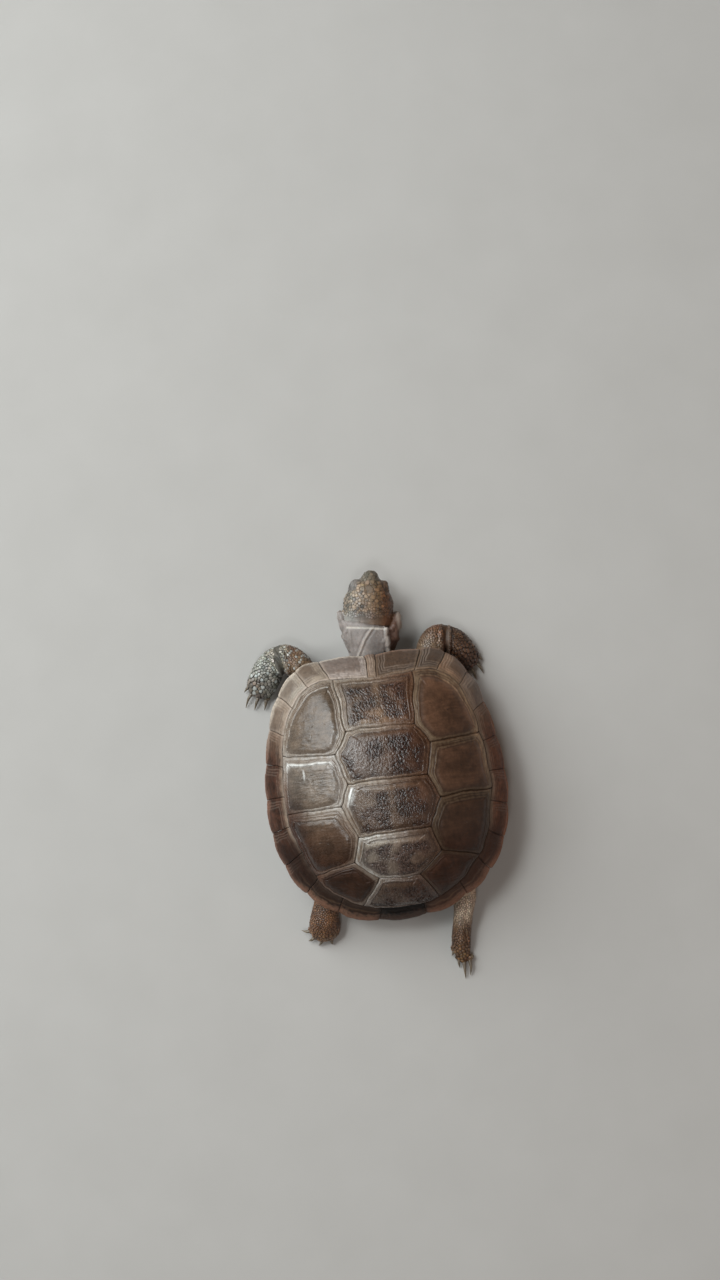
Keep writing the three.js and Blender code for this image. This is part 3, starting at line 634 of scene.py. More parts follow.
# margins of new horn at the front, at the rear, and at the sides
VERTEBRAL_MARGIN = [(1.6, 0.6, 1.5), (1.1, 0.6, 1.5), (1.2, 0.6, 1.6), (1.2, 0.6, 1.6), (1.0, 0.6, 1.4)]
for k, half in enumerate(halves):
    front, rear, sides = VERTEBRAL_MARGIN[k]
    margins = (front, rear, sides, sides)
    dome_plate(f"vertebral_{k + 1}", mirrored(half), VERTEBRAL_MID[k], margins, "vertebral")

inner_corners = [
    [corner[0], ends[0]],
    [corner[1], ends[1], corner[0]],
    [corner[2], ends[2], corner[1]],
    [ends[3], corner[2]],
]
COSTAL_MID = [(15.2, 15.6), (16.6, 2.6), (16.2, -10.2), (11.6, -20.3)]
# margins of new horn at the front, at the rear, and at the inner and outer sides
COSTAL_MARGIN = [(2.2, 0.6, 1.4, 1.6), (2.0, 0.6, 1.6, 1.4), (2.1, 0.6, 1.6, 1.3), (1.4, 0.6, 1.3, 1.0)]
for letter, side in (("l", 1), ("r", -1)):
    for k, corners in enumerate(inner_corners):
        arc = seam_arc(COSTAL_END[k], COSTAL_END[k + 1], 50, side)
        outline = [tuple(p) for p in arc] + [(side * x, y) for x, y in corners]
        dome_plate(f"costal_{letter}{k + 1}", outline, (side * COSTAL_MID[k][0], COSTAL_MID[k][1]),
                   COSTAL_MARGIN[k], "costal", side)


# ---- marginal plates ----
def turned(degrees):
    """Degrees away from straight ahead, on either side."""
    return np.abs((np.asarray(degrees, float) + 180) % 360 - 180)


def bridge(degrees):
    """1 where the rim turns down to join the plate below, 0 where its edge is free."""
    return smooth(50, 64, turned(degrees)) * (1 - smooth(116, 130, turned(degrees)))


# the turned edge, as distances in from the rim and below it
FREE_LIP = [(0.0, 0.0), (0.12, 0.4), (0.5, 0.8), (1.1, 0.95), (1.7, 0.7), (2.1, 0.3)]
BRIDGE_LIP = [(0.0, 0.0), (0.35, 1.2), (0.8, 2.3), (1.5, 3.35), (2.4, 4.2), (3.7, 5.0)]
FREE_BACK = [(2.6, -0.8), (3.4, -3.0)]
BRIDGE_BACK = [(3.8, 3.2), (2.9, -0.8)]
OUTER_ROWS = 40
RIM_RINGS = (0.75, 1.5, 2.2)
RIM_RING_PITCH = 0.36
# painted sheen and shade on the front plates of the rim, fading out on the flanks: lighter and bluer on the
# left, dark on the first two on the right, lighter on the third on the right
RIM_LIGHT_AND_SHADE = {
    "l1": (1.13, 1.24, 1.43), "l2": (1.12, 1.3, 1.4), "l3": (1.52, 1.95, 2.3), "l4": (1.3, 1.5, 1.65),
    "r1": (0.25, 0.19, 0.14), "r2": (0.22, 0.17, 0.13), "r3": (1.25, 1.05, 0.85),
}
# factors and colours that differ between the two sides of the rim: painted shadow darkens the left flank's
# red, its dark hind part and its lip, painted sheen pales the left front lip and painted shade darkens the
# right one; the mottle is stronger on the left
RIM_LEFT = dict(red=[0.5, 0.28, 0.18], mottle=1.0, deep=[0.6, 0.4, 0.3], line=0.7, lip=[0.55, 0.42, 0.38],
                front_lip=rgb(200, 186, 170))
RIM_RIGHT = dict(red=[1.8, 1.5, 1.25], mottle=0.55, deep=[1.6, 1.25, 1.15], line=0.9, lip=[0.85, 0.58, 0.44],
                 front_lip=PINK_TAN * 0.7)


def rim_plate(name, lo, hi, count):
    """One plate of the rim: rows from the seam out to the edge, then turned under and back in."""
    inset = math.degrees(SEAM_HALF / 30)
    degrees = np.linspace(lo + inset, hi - inset, count)[:, None]
    t_in = np.linspace(0, 1, count)[:, None]
    mid_deg = (lo + hi) / 2
    seed = seed_of(name) + 60
    radius = around(RIM_RADIUS, degrees)
    rim = around(RIM_HEIGHT, degrees)
    seam = around(SEAM_SHARE, degrees) + SEAM_HALF / radius
    q = np.linspace(0, 1, OUTER_ROWS)[None, :]
    rad = radius * (seam + (1 - seam) * (1 - (1 - q) ** 1.35))
    turn = np.radians(degrees)
    left, ahead = polar(rad, degrees)
    wander = waver(left, ahead)
    fade = 1 - smooth(0.8, 1.0, q)
    left, ahead = left + wander[0] * fade, ahead + wander[1] * fade
    z = mix(rim, dome_height(left, ahead), 1 - smooth(0.8, 1, q))
    out = np.stack([np.sin(turn), -np.cos(turn), np.zeros_like(turn)], -1)
    swell = 0.35 * np.sin(np.pi * np.clip(t_in, 0.001, 0.999)) ** 0.7
    base = place(left, ahead, z) + out * (swell * np.sin(np.pi * 0.62 * q))[..., None]
    width = radius * np.radians(hi - lo)
    steps = np.linalg.norm(np.diff(base, axis=1), axis=-1)
    down = np.concatenate([np.zeros((count, 1)), np.cumsum(steps, 1)], 1)
    near_side = np.minimum(t_in, 1 - t_in) * width + 0 * q
    from_front = (t_in if abs(hi) > abs(lo) else 1 - t_in) * width + 0 * q
    uneven = [0.25 * noise(base, 0.4, seed + k) for k in (0, 1)]
    d_ring = np.minimum(down + uneven[0], from_front * 1.1 + uneven[1])
    # relief: growth rings along the seam and the front side, grooves at the sides, pits and wear
    lift = 0.1 * smooth(1.8, 3.0, d_ring)
    for at in RIM_RINGS:
        lift = lift - 0.07 * bell(d_ring - at, 0.12) * smooth(0.2, 0.7, near_side)
    lift = lift - 0.08 * bell(near_side, 0.16) - 0.16 * bell(down, 0.18)
    lift = lift + 0.06 * noise(base, 0.35, seed + 2) + 0.035 * noise(base, 1.1, seed + 3)
    pitted = smooth(22, 10, abs(mid_deg)) + 0.4
    lift = lift - 0.07 * pitted * smooth(0.15, 0.5, fbm(base, (1.7, 1.7, 1.0), seed + 8, 2))
    lift = lift + 0.016 * np.sin(d_ring * 2 * np.pi / RIM_RING_PITCH + noise(base, 0.5, seed) * 2)
    normal = unit(np.cross(np.gradient(base, axis=1), np.gradient(base, axis=0)))
    if np.sum(normal * out) < 0:
        normal = -normal
    scallop = 0.3 * smooth(135, 150, abs(mid_deg)) * np.abs(t_in * 2 - 1) ** 2
    outer = base + normal * lift[..., None] - out * (scallop * smooth(0.75, 1, q))[..., None]
    joined_share = bridge(degrees)[..., None]
    low = mix(np.array(FREE_LIP)[None], np.array(BRIDGE_LIP)[None], joined_share)
    low = np.stack([resample(row, 18) for row in low])[:, 1:]
    back = mix(np.array(FREE_BACK)[None], np.array(BRIDGE_BACK)[None], joined_share)
    under = np.concatenate([low, back], 1)
    inward = radius - under[..., 0] + swell * np.sin(np.pi * 0.62) - 0.14 * bell(near_side[:, :1], 0.2)
    under_rows = place(0, SHELL_MID_AHEAD, 0) + out * (inward - scallop * (under[..., 0] < 1.5))[..., None]
    under_rows[..., 2] = rim - under[..., 1]
    inner = on_dome(*polar(rad[:, 0], degrees[:, 0]), -PLATE)[:, None]
    rows = np.concatenate([outer, under_rows, inner], 1)
    points, quads, tris = rows_mesh(rows)
    # colour: tan in front, red brown on the flanks, blackish behind, with a pale edge; painted sheen, shade
    # and shadow that differ by side, and painted shade where it turns under
    n1, n2 = fbm(base, 0.4, seed + 5), fbm(base, (1.4, 1.4, 0.8), seed + 6)
    flank = smooth(46, 74, turned(degrees))
    rear = smooth(122, 140, turned(degrees))
    hindmost = smooth(166, 171, turned(degrees))
    side = RIM_LEFT if mid_deg > 0 else RIM_RIGHT
    tint = paint(
        blend(mix(WARM_BROWN, TAN, 0.4), mix(TAN, PALE_TAN, 0.3), 0.5 + n1 * 0.7 + n2 * 0.4),
        (PALE_TAN, 0.55 * smooth(26, 14, mid_deg) * smooth(-1, 1, mid_deg)),
        (WARM_BROWN * 0.75, 0.35 * smooth(0.1, 0.5, n2)),
    )
    # painted sheen and shade on the front plates
    tint = tint * mix(np.array(RIM_LIGHT_AND_SHADE.get(name[-2:], (1, 1, 1))), 1.0, flank[..., None])
    # the red brown of the flanks, darker on the left as painted shadow
    body_red = RED_BROWN * side["red"] * (0.85 + 0.45 * n2 + 0.3 * n1)[..., None]
    tint = blend(tint, body_red, mix(0.9, 0.75, rear) * flank * smooth(0.3, 1.8, down))
    along_edge = np.stack([down * 1.7, near_side * 0.3, 0 * down], -1)
    mottle = 0.5 * noise(along_edge, 1.0, seed + 9) + 0.45 * noise(base, 0.8, seed + 10) + 0.3 * n1
    tint = tint * (1 + mix(0.35, 0.75, flank) * side["mottle"] * np.clip(mottle, -0.8, 1))[..., None]
    core = smooth(1.6, 2.6, d_ring) * smooth(0.2, 1.2, down[:, -1:] - down)
    tint = blend(tint, WARM_BROWN * (0.72 + 0.4 * np.clip(n2, -1, 1))[..., None], 0.6 * core * (1 - flank))
    for at in RIM_RINGS:
        tint = paint(tint, (PALE_TAN, mix(0.3, 0.16, flank) * bell(d_ring - at - 0.2, 0.16)),
                     (CRACK, 0.3 * bell(d_ring - at, 0.1)))
    pale = PALE_TAN
    # painted shade: the pale bands darker on the right
    if side is RIM_RIGHT:
        pale = PALE_TAN * mix(np.array([0.52, 0.43, 0.34]), np.array([0.62, 0.55, 0.5]), flank[..., None])
    reach = rad + swell * np.sin(np.pi * 0.62 * q)
    past = np.arange(OUTER_ROWS)[None] > reach.argmax(1)[:, None]
    to_rim = np.where(past, 0, reach.max(1, keepdims=True) - reach)
    dark = rear_dark(left, ahead) * smooth(0.9, 2.0, to_rim + 0.4 * n1)
    tint = paint(
        tint,
        (pale * mix(1.0, 0.5, flank[..., None]), 0.75 * smooth(0.95, 0.3, down + 0.2 * n1)),
        (pale, 0.45 * (1 - flank) * bell(near_side - 0.25, 0.35)),
        (BLACK_BROWN * side["deep"], 0.85 * dark),
    )
    for at in (0.8, 1.7):
        line = bell(to_rim - at - 0.9 - 0.25 * noise(base, 0.5, seed + 7), 0.16) * rear
        tint = blend(tint, TAN * side["line"], 0.4 * line)
    lip = PINK_TAN * mix(np.array(side["lip"]), np.array([0.68, 0.54, 0.47]), rear[..., None])
    lip = blend(side["front_lip"], lip, flank) * (0.9 + 0.5 * n2)[..., None]
    on_lip = smooth(0.95, 0.3, to_rim / mix(0.8, 2.4, rear) + 0.45 * n2 + 0.2 * mottle)
    tint = paint(
        tint,
        # the hindmost plate very dark: its own dark colour and painted shade
        ((0.1, 0.07, 0.06), hindmost + 0 * n1),
        (lip, mix(0.7, 0.9, rear) * on_lip * mix(1.0, 0.25, hindmost)),
        (CRACK, np.maximum(0.35 * bell(near_side, 0.08), 0.7 * bell(down, 0.12) * (0.7 + n1))),
    )
    # plainer horn where the plate turns under
    below = rows[:, OUTER_ROWS:]
    rest = below.shape[1]
    patches = fbm(below, (0.5, 0.5, 0.9), seed + 11) + 0.3 * np.repeat(mottle[:, -1:], rest, 1)
    plain = blend(WARM_BROWN * 0.7, TAN * np.array([0.78, 0.78, 0.75]), 0.45 + 0.8 * patches)
    turn_under = np.linspace(0.3, 1.6, rest).clip(0, 1)[None]
    below_tint = blend(np.repeat(tint[:, -1:], rest, 1), plain, 0.85 * flank * turn_under)
    # painted shade: darker further under the rim
    below_tint = below_tint * np.linspace(1.0, 0.75, rest)[None, :, None]
    tint = np.concatenate([np.concatenate([tint, below_tint], 1).reshape(-1, 3), np.tile(CRACK, (2, 1))])
    material = EDGE_HORN if flank.mean() < 0.5 else FLANK_HORN
    return piece_of("shell_" + name, points, (quads, tris), tint, material, [name])


rim_plate("nuchal", -MARGINAL_SEAM[0], MARGINAL_SEAM[0], 24)
for letter, side in (("l", 1), ("r", -1)):
    for k in range(11):
        lo, hi = sorted((side * MARGINAL_SEAM[k], side * MARGINAL_SEAM[k + 1]))
        rim_plate(f"marginal_{letter}{k + 1}", lo, hi, 56)
rim_plate("supracaudal", MARGINAL_SEAM[11], 360 - MARGINAL_SEAM[11], 64)


# ---- belly plate ----
# each seam across the belly: ahead at the middle, half width, ahead at the side
BELLY_SEAMS = [(21.5, 7, 21.5), (13.5, 20, 12.0), (6.0, 22, 7.5), (-9.5, 22, -10.5), (-17.5, 18, -19.0)]
BELLY_TURNS = 220
BELLY_RINGS = 56


def belly_plate():
    degrees = np.arange(BELLY_TURNS) * 360 / BELLY_TURNS
    at_bridge = bridge(degrees)
    reach = mix(around(BELLY_RADIUS, degrees), around(RIM_RADIUS, degrees) - 4.4, at_bridge)
    edge = mix(0.5, around(RIM_HEIGHT, degrees) - 5, at_bridge)

    def layer(shares, top):
        rows = []
        for share in shares:
            lift = edge * smooth(0.62, 1.06, share) * 1.12
            up = lift + (PLASTRON * mix(1, 0.8, smooth(0.8, 1, share)) if top else 0)
            notches = bell(degrees - 180, 7) + bell((degrees + 180) % 360 - 180, 7)
            notch = 1 - 0.05 * notches * smooth(0.9, 1, share)
            rows.append(place(*polar(reach * share * notch, degrees), up))
        return np.array(rows)

    low = layer(np.arange(1, BELLY_RINGS + 1) / BELLY_RINGS, False)
    left, ahead, _ = body_of_point(low)
    seam = np.abs(left)
    for mid, half, side_ahead in BELLY_SEAMS:
        across = ahead - (mid + (side_ahead - mid) * (np.abs(left) / half) ** 2) - 0.3 * noise(low, 0.2, 71)
        seam = np.minimum(seam, np.abs(across))
    low[..., 2] += 0.12 * bell(seam, 0.16) + 0.05 * np.clip(fbm(low, 0.5, 72), 0, 1)
    high = layer([1.0, 0.97, 0.9, 0.75, 0.5, 0.2], True)
    rows = np.concatenate([low, high])
    points, quads, tris = rows_mesh(rows)
    n1, n2 = fbm(rows, 0.25, 73), fbm(rows, 1.2, 74)
    blot = smooth(0.05, 0.4, noise(rows, 0.11, 75) + 0.25) * smooth(2.0, 5.0, np.abs(rows[..., 0] + MID_LEFT))
    seam_all = np.concatenate([seam, np.full((len(high), BELLY_TURNS), 9.0)])
    tint = paint(
        blend(rgb(150, 130, 95), rgb(186, 168, 128), 0.5 + n1 * 0.7 + n2 * 0.3),
        (rgb(70, 58, 46), 0.55 * blot),
        (rgb(96, 80, 60), 0.7 * bell(seam_all, 0.12)),
    )
    tint = np.concatenate([tint.reshape(-1, 3), np.tile(rgb(150, 130, 100), (2, 1))])
    return piece_of("shell_plastron", points, (quads, tris), tint, BELLY_HORN, ["plastron"])


belly_plate()


# ---- flesh: the sizes of head, neck, tail and legs, as in the CAD ----
# HEAD_ROWS holds along, half width, top and bottom
# the other paths hold left, ahead, up, half width and half height
HEAD_BASE = (-0.6, 37.9, 8.9)
HEAD_TURN = math.radians(9.6)
HEAD_LIFT = math.radians(4)
HEAD_ROWS = [
    [-1.4, 5.1, 3.3, -3.2], [1, 5.75, 4.1, -4.0], [3.6, 5.95, 4.55, -4.6], [6, 5.9, 4.65, -4.7],
    [8, 5.2, 4.5, -4.4], [9.6, 4.2, 4.0, -4.0], [10.8, 3.0, 3.35, -3.6], [11.8, 2.15, 2.75, -3.1],
    [12.8, 1.65, 2.05, -2.5], [13.5, 0.85, 1.15, -1.7],
]
MOUTH = [(6.2, -0.85), (8, -1.3), (10.5, -1.6), (12.2, -1.6), (15, -1.75)]
EYE = 1.8
EYE_AT = (9.3, 2.95, 0.95)
LID = 1.98
EYE_FACES = (0.26, 1.0, 0.12)
LID_REACH = 1.42
NECK = [[0, 20, 8.2, 5.0, 4.2], [0, 28, 7.9, 4.7, 4.0], [-0.1, 32.5, 7.9, 4.7, 4.0],
        [-0.3, 36, 8.3, 4.9, 4.1], [-0.5, 39.2, 8.8, 5.0, 4.0]]
COLLAR = [[-0.1, 29.5, 7.9, 4.4, 3.9], [-0.25, 31.3, 8.0, 4.8, 4.1], [-0.6, 33.2, 8.3, 6.1, 4.45],
          [-0.75, 35.0, 8.6, 7.35, 4.8], [-0.75, 38.3, 8.85, 7.55, 4.95]]
COLLAR_REACH = (2.9, 4.0)
TAIL = [[0, -20, 6.6, 2.6, 2.4], [0.4, -25, 5.4, 2.2, 2], [1.3, -28, 4, 1.5, 1.4], [2.4, -30, 2.5, 0.6, 0.6]]
LEGS = {
    "fore_l": {
        "stations": [[11, 21, 7.6, 3, 2.9], [15, 28.5, 7.2, 3.2, 3.1], [19, 33, 6.2, 3.4, 3.3],
                     [22.8, 32.4, 4.6, 3.6, 3.1], [25.4, 29.3, 3, 3.7, 2.8], [26.8, 26.8, 1.7, 3.3, 1.9],
                     [27.3, 25.7, 1, 1.9, 1.05]],
        "claws": [[[28.9, 28.2, 1.7], [29.9, 27.6, 1.6], [30.7, 26.9, 0.8]],
                  [[28.5, 26.7, 1.5], [29.8, 25.2, 1.5], [30.8, 23.2, 0.5]],
                  [[27.3, 25.6, 1.4], [28.1, 23.9, 1.4], [28.8, 22.3, 0.5]],
                  [[25.6, 25, 1.4], [25.9, 23.4, 1.3], [26.4, 22, 0.5]]],
    },
    "fore_r": {
        "stations": [[-10.5, 21, 7.6, 3, 2.9], [-13.4, 28.5, 7.2, 3.2, 3.1], [-16.6, 33, 6.2, 3.5, 3.3],
                     [-20.2, 32.2, 4.6, 3.6, 3.1], [-22.4, 29.6, 3, 3.6, 2.8], [-23.7, 27.2, 1.7, 3.2, 1.9],
                     [-24.2, 26.1, 1, 1.9, 1.05]],
        "claws": [[[-25.8, 28.6, 1.7], [-26.8, 27.9, 1.6], [-27.5, 27, 0.8]],
                  [[-25.4, 27.1, 1.5], [-26.5, 25.7, 1.5], [-27.3, 24, 0.5]],
                  [[-24.2, 26, 1.4], [-24.9, 24.3, 1.4], [-25.4, 22.9, 0.5]],
                  [[-22.5, 25.5, 1.4], [-22.7, 24, 1.3], [-23, 22.7, 0.5]]],
    },
    "hind_l": {
        "stations": [[11, -16, 7, 3.2, 3.1], [15.4, -22, 5.8, 3.4, 3], [17.7, -26.6, 4.4, 3.2, 3],
                     [18.5, -30, 3.2, 3.7, 3.1], [18.6, -32.4, 2.2, 3.5, 2.3], [18.6, -33.9, 1.2, 2.2, 1.2]],
        "claws": [[[21.8, -31.4, 1.9], [22.9, -31.7, 1.8], [24.2, -31.3, 1]],
                  [[21, -33, 1.6], [22, -33.7, 1.5], [22.9, -34, 0.6]],
                  [[19.3, -33.9, 1.5], [20, -34.8, 1.4], [20.6, -35.4, 0.5]],
                  [[17.5, -33.9, 1.5], [17.5, -34.9, 1.4], [17.3, -35.6, 0.5]]],
    },
    "hind_r": {
        "stations": [[-10.5, -16, 7, 3.2, 3.1], [-14.4, -23, 6, 3.2, 3], [-15.1, -28, 5, 2.8, 2.8],
                     [-14.2, -33, 3.4, 2.3, 2.5], [-13.1, -38.3, 2.1, 2.3, 2.1],
                     [-13.1, -41.6, 1.4, 1.9, 1.4], [-13.4, -43.4, 0.9, 1.1, 0.9]],
        "claws": [[[-11.3, -40.2, 1.5], [-10.9, -41.2, 1.5], [-10.5, -42, 0.8]],
                  [[-12.1, -42.4, 1.3], [-11.9, -43.7, 1.4], [-12, -45, 0.6]],
                  [[-13.2, -43.2, 1.2], [-13.1, -45.5, 1.4], [-13.1, -47.7, 0.5]],
                  [[-14.4, -42.8, 1.3], [-14.6, -45, 1.5], [-14.3, -47, 0.6]]],
    },
}
EAR = (4.9, -0.3)
NOSE_FROM = 13.3
HEAD_LENGTH = 13.5
COAT_DEPTH = 0.15
PATHS = {"neck": NECK, "tail": TAIL, **{key: leg["stations"] for key, leg in LEGS.items()}}
PARTS = ["head", "neck", "tail", *LEGS]
PATH_STEPS = 60


def tube_rows(stations, sides, steps, grow=0.0, ends=False):
    """Rows of points round a path; with ends, the last row is rounded off."""
    rows = resample(stations, steps)
    centres = place(*rows[:, :3].T)
    n = len(centres)
    idx = np.arange(n)
    along = unit(centres[np.minimum(idx + 1, n - 1)] - centres[np.maximum(idx - 1, 0)])
    side = unit(np.cross(along, [0, 0, 1.0]))
    up = np.cross(side, along)
    turn = 2 * np.pi * (np.arange(sides) + 0.5) / sides
    width, height = rows[:, 3] + grow, rows[:, 4] + grow
    if ends:
        more = [(0.32, 0.86), (0.5, 0.55), (0.58, 0.2)]
        centres = np.concatenate([centres, [centres[-1] + along[-1] * height[-1] * d for d, _ in more]])
        width = np.concatenate([width, [width[-1] * s for _, s in more]])
        height = np.concatenate([height, [height[-1] * s for _, s in more]])
        side = np.concatenate([side, np.repeat(side[-1:], 3, 0)])
        up = np.concatenate([up, np.repeat(up[-1:], 3, 0)])
    rows3 = (centres[:, None] + side[:, None] * (np.cos(turn)[None] * width[:, None])[..., None]
             + up[:, None] * (np.sin(turn)[None] * height[:, None])[..., None])
    rows3[..., 2] = np.maximum(rows3[..., 2], 0.02)
    return rows3


def head_point(along, left, up):
    forward = along * math.cos(HEAD_LIFT) - up * math.sin(HEAD_LIFT)
    return place(
        HEAD_BASE[0] - forward * math.sin(HEAD_TURN) + left * math.cos(HEAD_TURN),
        HEAD_BASE[1] + forward * math.cos(HEAD_TURN) + left * math.sin(HEAD_TURN),
        HEAD_BASE[2] + along * math.sin(HEAD_LIFT) + up * math.cos(HEAD_LIFT),
    )


def head_local(p):
    """Distances along, left of and above the head's own axis, from points in the shared frame."""
    left, ahead, up = body_of_point(p)
    dl, da, dz = left - HEAD_BASE[0], ahead - HEAD_BASE[1], up - HEAD_BASE[2]
    forward = -dl * math.sin(HEAD_TURN) + da * math.cos(HEAD_TURN)
    across = dl * math.cos(HEAD_TURN) + da * math.sin(HEAD_TURN)
    along = forward * math.cos(HEAD_LIFT) + dz * math.sin(HEAD_LIFT)
    return along, across, -forward * math.sin(HEAD_LIFT) + dz * math.cos(HEAD_LIFT)


def mouth_height(along):
    return np.interp(along, *np.transpose(MOUTH))


def eye_frame(side):
    """Centre of an eye and the ways it faces out and forward, in the head's own axes."""
    centre = np.array([EYE_AT[0], side * EYE_AT[1], EYE_AT[2]])
    out = unit(np.array([EYE_FACES[0], side * EYE_FACES[1], EYE_FACES[2]]))
    return centre, out, unit(np.array([1.0, 0, 0]) - out * out[0])


def from_eye(q, side):
    return np.linalg.norm(q - eye_frame(side)[0], axis=-1)


def ball_rows(centre, radius, rings=24, sides=32):
    a = np.linspace(0.08, np.pi - 0.08, rings)[:, None]
    b = 2 * np.pi * np.arange(sides)[None] / sides
    p = np.stack([np.sin(a) * np.cos(b), np.sin(a) * np.sin(b), np.cos(a) + 0 * b], -1)
    return centre + p * radius


# ---- flesh as one closed skin ----
TRUNK_SIDES = 96
HEAD_SIDES = 96
COLLAR_SIDES = 72


def trunk_rows():
    """The body inside the shell: under the dome, then down and in to the plate below."""
    degrees = np.arange(TRUNK_SIDES) * 360 / TRUNK_SIDES
    radius = around(RIM_RADIUS, degrees)
    rows = [on_dome(*polar(radius * share, degrees), -PLATE - 0.3) for share in (0.08, 0.3, 0.45, 0.6, 0.74)]
    for inward, height in resample([[4.5, 1], [4.8, 0.72], [7.6, 0.42], [17.2, 0]], 9):
        up = mix(PLASTRON + 0.3, around(RIM_HEIGHT, degrees) + 2.4, height)
        rows.append(place(*polar(radius - inward, degrees), up))
    return np.array(rows)


def head_rows_3d(grow=0.0):
    rows = resample(HEAD_ROWS, 90)
    turn = 2 * np.pi * np.arange(HEAD_SIDES) / HEAD_SIDES
    across, up = np.cos(turn)[None], np.sin(turn)[None]
    width, top, low = rows[:, 1:2] + grow, rows[:, 2:3] + grow, -rows[:, 3:4] + grow
    rise = np.where(up > 0, top, low)
    return head_point(rows[:, :1] + 0 * across, np.sign(across) * np.abs(across) ** 0.88 * width,
                      np.sign(up) * np.abs(up) ** 0.9 * rise)


def collar_rows():
    """The loose sleeve of skin round the back of the head; its lip runs forward down the sides."""
    rows3 = tube_rows(COLLAR, COLLAR_SIDES, 30, -0.1)
    n = len(rows3)
    turn = 2 * np.pi * (np.arange(COLLAR_SIDES) + 0.5) / COLLAR_SIDES
    from_top = np.abs((turn - np.pi / 2 + np.pi) % (2 * np.pi) - np.pi)
    lefts = smooth(-1, 1, np.cos(turn) * (1 if rows3[0, 0, 0] > rows3[0, COLLAR_SIDES // 2, 0] else -1))
    reach = mix(COLLAR_REACH[1], COLLAR_REACH[0], lefts) * smooth(0.95, 1.35, from_top)
    reach = reach * mix(1, 0.6, smooth(1.9, 2.7, from_top)) + 3.4 * (lefts - 0.5)
    share = smooth(0.35, 1.0, np.arange(n) / (n - 1))[:, None]
    forward = np.array([-math.sin(HEAD_TURN), -math.cos(HEAD_TURN), 0])
    rows3 = rows3 + forward * (share * reach[None])[..., None]
    middle = rows3[-1].mean(0)
    inner = [middle + (rows3[-1] - middle) * size - forward * depth
             for size, depth in ((0.91, 0.15), (0.85, 1.2), (0.76, 3.0))]
    return np.concatenate([rows3, inner])


def union(parts, voxel):
    """The parts as one closed mesh."""
    points, quads, tris = joined([rows_mesh(rows3) for rows3 in parts])
    mesh = build_mesh("flesh_parts", points, (quads, tris), 1.0)
    o = add_object("flesh_parts", mesh)
    mod = o.modifiers.new("remesh", "REMESH")
    mod.mode = "VOXEL"
    mod.voxel_size = voxel
    got = bpy.data.meshes.new_from_object(o.evaluated_get(bpy.context.evaluated_depsgraph_get()))
    bpy.data.objects.remove(o)
    bpy.data.meshes.remove(mesh)
    return got


def mesh_arrays(mesh):
    """Points, edges and triangles of a mesh."""
    def values(items, field, width, kind):
        got = np.empty(len(items) * width, kind)
        items.foreach_get(field, got)
        return got.reshape(-1, width)

    mesh.calc_loop_triangles()
    return (values(mesh.vertices, "co", 3, np.float32).astype(float),
            values(mesh.edges, "vertices", 2, np.int32), values(mesh.loop_triangles, "vertices", 3, np.int32))


def put_points(mesh, p):
    mesh.vertices.foreach_set("co", p.astype(np.float32).ravel())
    mesh.update()


def relax(p, e, rounds, weight=1.0):
    """Points drawn toward the mean of their neighbours and back, so that the mesh evens out."""
    count = np.bincount(e.ravel(), minlength=len(p)).astype(float)
    for k in range(rounds):
        total = np.stack([sum(np.bincount(e[:, c], p[e[:, 1 - c], j], len(p)) for c in (0, 1))
                          for j in range(3)], -1)
        step = 0.5 if k % 2 == 0 else -0.52
        p = p + (total / count[:, None] - p) * step * np.reshape(weight, (-1, 1))
    return p


def point_normals(p, t):
    n = np.cross(p[t[:, 1]] - p[t[:, 0]], p[t[:, 2]] - p[t[:, 0]])
    total = np.stack([sum(np.bincount(t[:, c], n[:, j], len(p)) for c in range(3)) for j in range(3)], -1)
    return unit(total)


def refine(mesh, chosen):
    """The mesh with the faces that touch chosen points cut in four."""
    bm = bmesh.new()
    bm.from_mesh(mesh)
    bm.verts.ensure_lookup_table()
    edges = [e for e in bm.edges if chosen[e.verts[0].index] and chosen[e.verts[1].index]]
    bmesh.ops.subdivide_edges(bm, edges=edges, cuts=1, use_grid_fill=True)
    bm.to_mesh(mesh)
    bm.free()
    mesh.update()
    return mesh


def path_line(name):
    """Rows of a path, its centre line and the ways that the line runs."""
    rows = resample(PATHS[name], PATH_STEPS)
    centres = place(*rows[:, :3].T)
    return rows, centres, unit(np.gradient(centres, axis=0))


def limb_frame(p, name):
    """Place along a limb from 0 to 1, distance from its line in radii, and the way that it runs."""
    rows, centres, tangent = path_line(name)
    best = np.full(len(p), 1e9)
    where = np.zeros(len(p), int)
    for k, centre in enumerate(centres):
        d = np.linalg.norm(p - centre, axis=1)
        near = d < best
        best[near] = d[near]
        where[near] = k
    size = (rows[:, 3] + rows[:, 4]) / 2
    return where / PATH_STEPS, best / size[where], tangent[where]


def region_of(p):
    """The part that each point belongs to (-1 for the trunk), how far along it, and the way that it runs."""
    part = np.full(len(p), -1)
    along = np.zeros(len(p))
    lie = np.tile([0, -1.0, 0], (len(p), 1))
    best = np.full(len(p), 1.32)
    for name in PATHS:
        t, d, way = limb_frame(p, name)
        take = d < best
        best[take], part[take], along[take], lie[take] = d[take], PARTS.index(name), t[take], way[take]
    a, l, u = head_local(p)
    inside = head_share(a, l, u) > 0.5
    part[inside], along[inside] = 0, (a / HEAD_LENGTH)[inside]
    return part, along, lie


def head_share(a, l, u):
    """1 on the head, 0 on the collar round it, from places in the head's own axes."""
    rows = np.array(HEAD_ROWS)
    width, top, low = (np.interp(a, rows[:, 0], rows[:, k]) for k in (1, 2, 3))
    round_axis = np.hypot(l / width, u / np.where(u > 0, top, -low))
    near = np.where(a < 4.6, smooth(1.11, 1.03, round_axis), smooth(2.9, 2.4, np.abs(l) - width))
    return near * smooth(-0.4, 0.3, a)


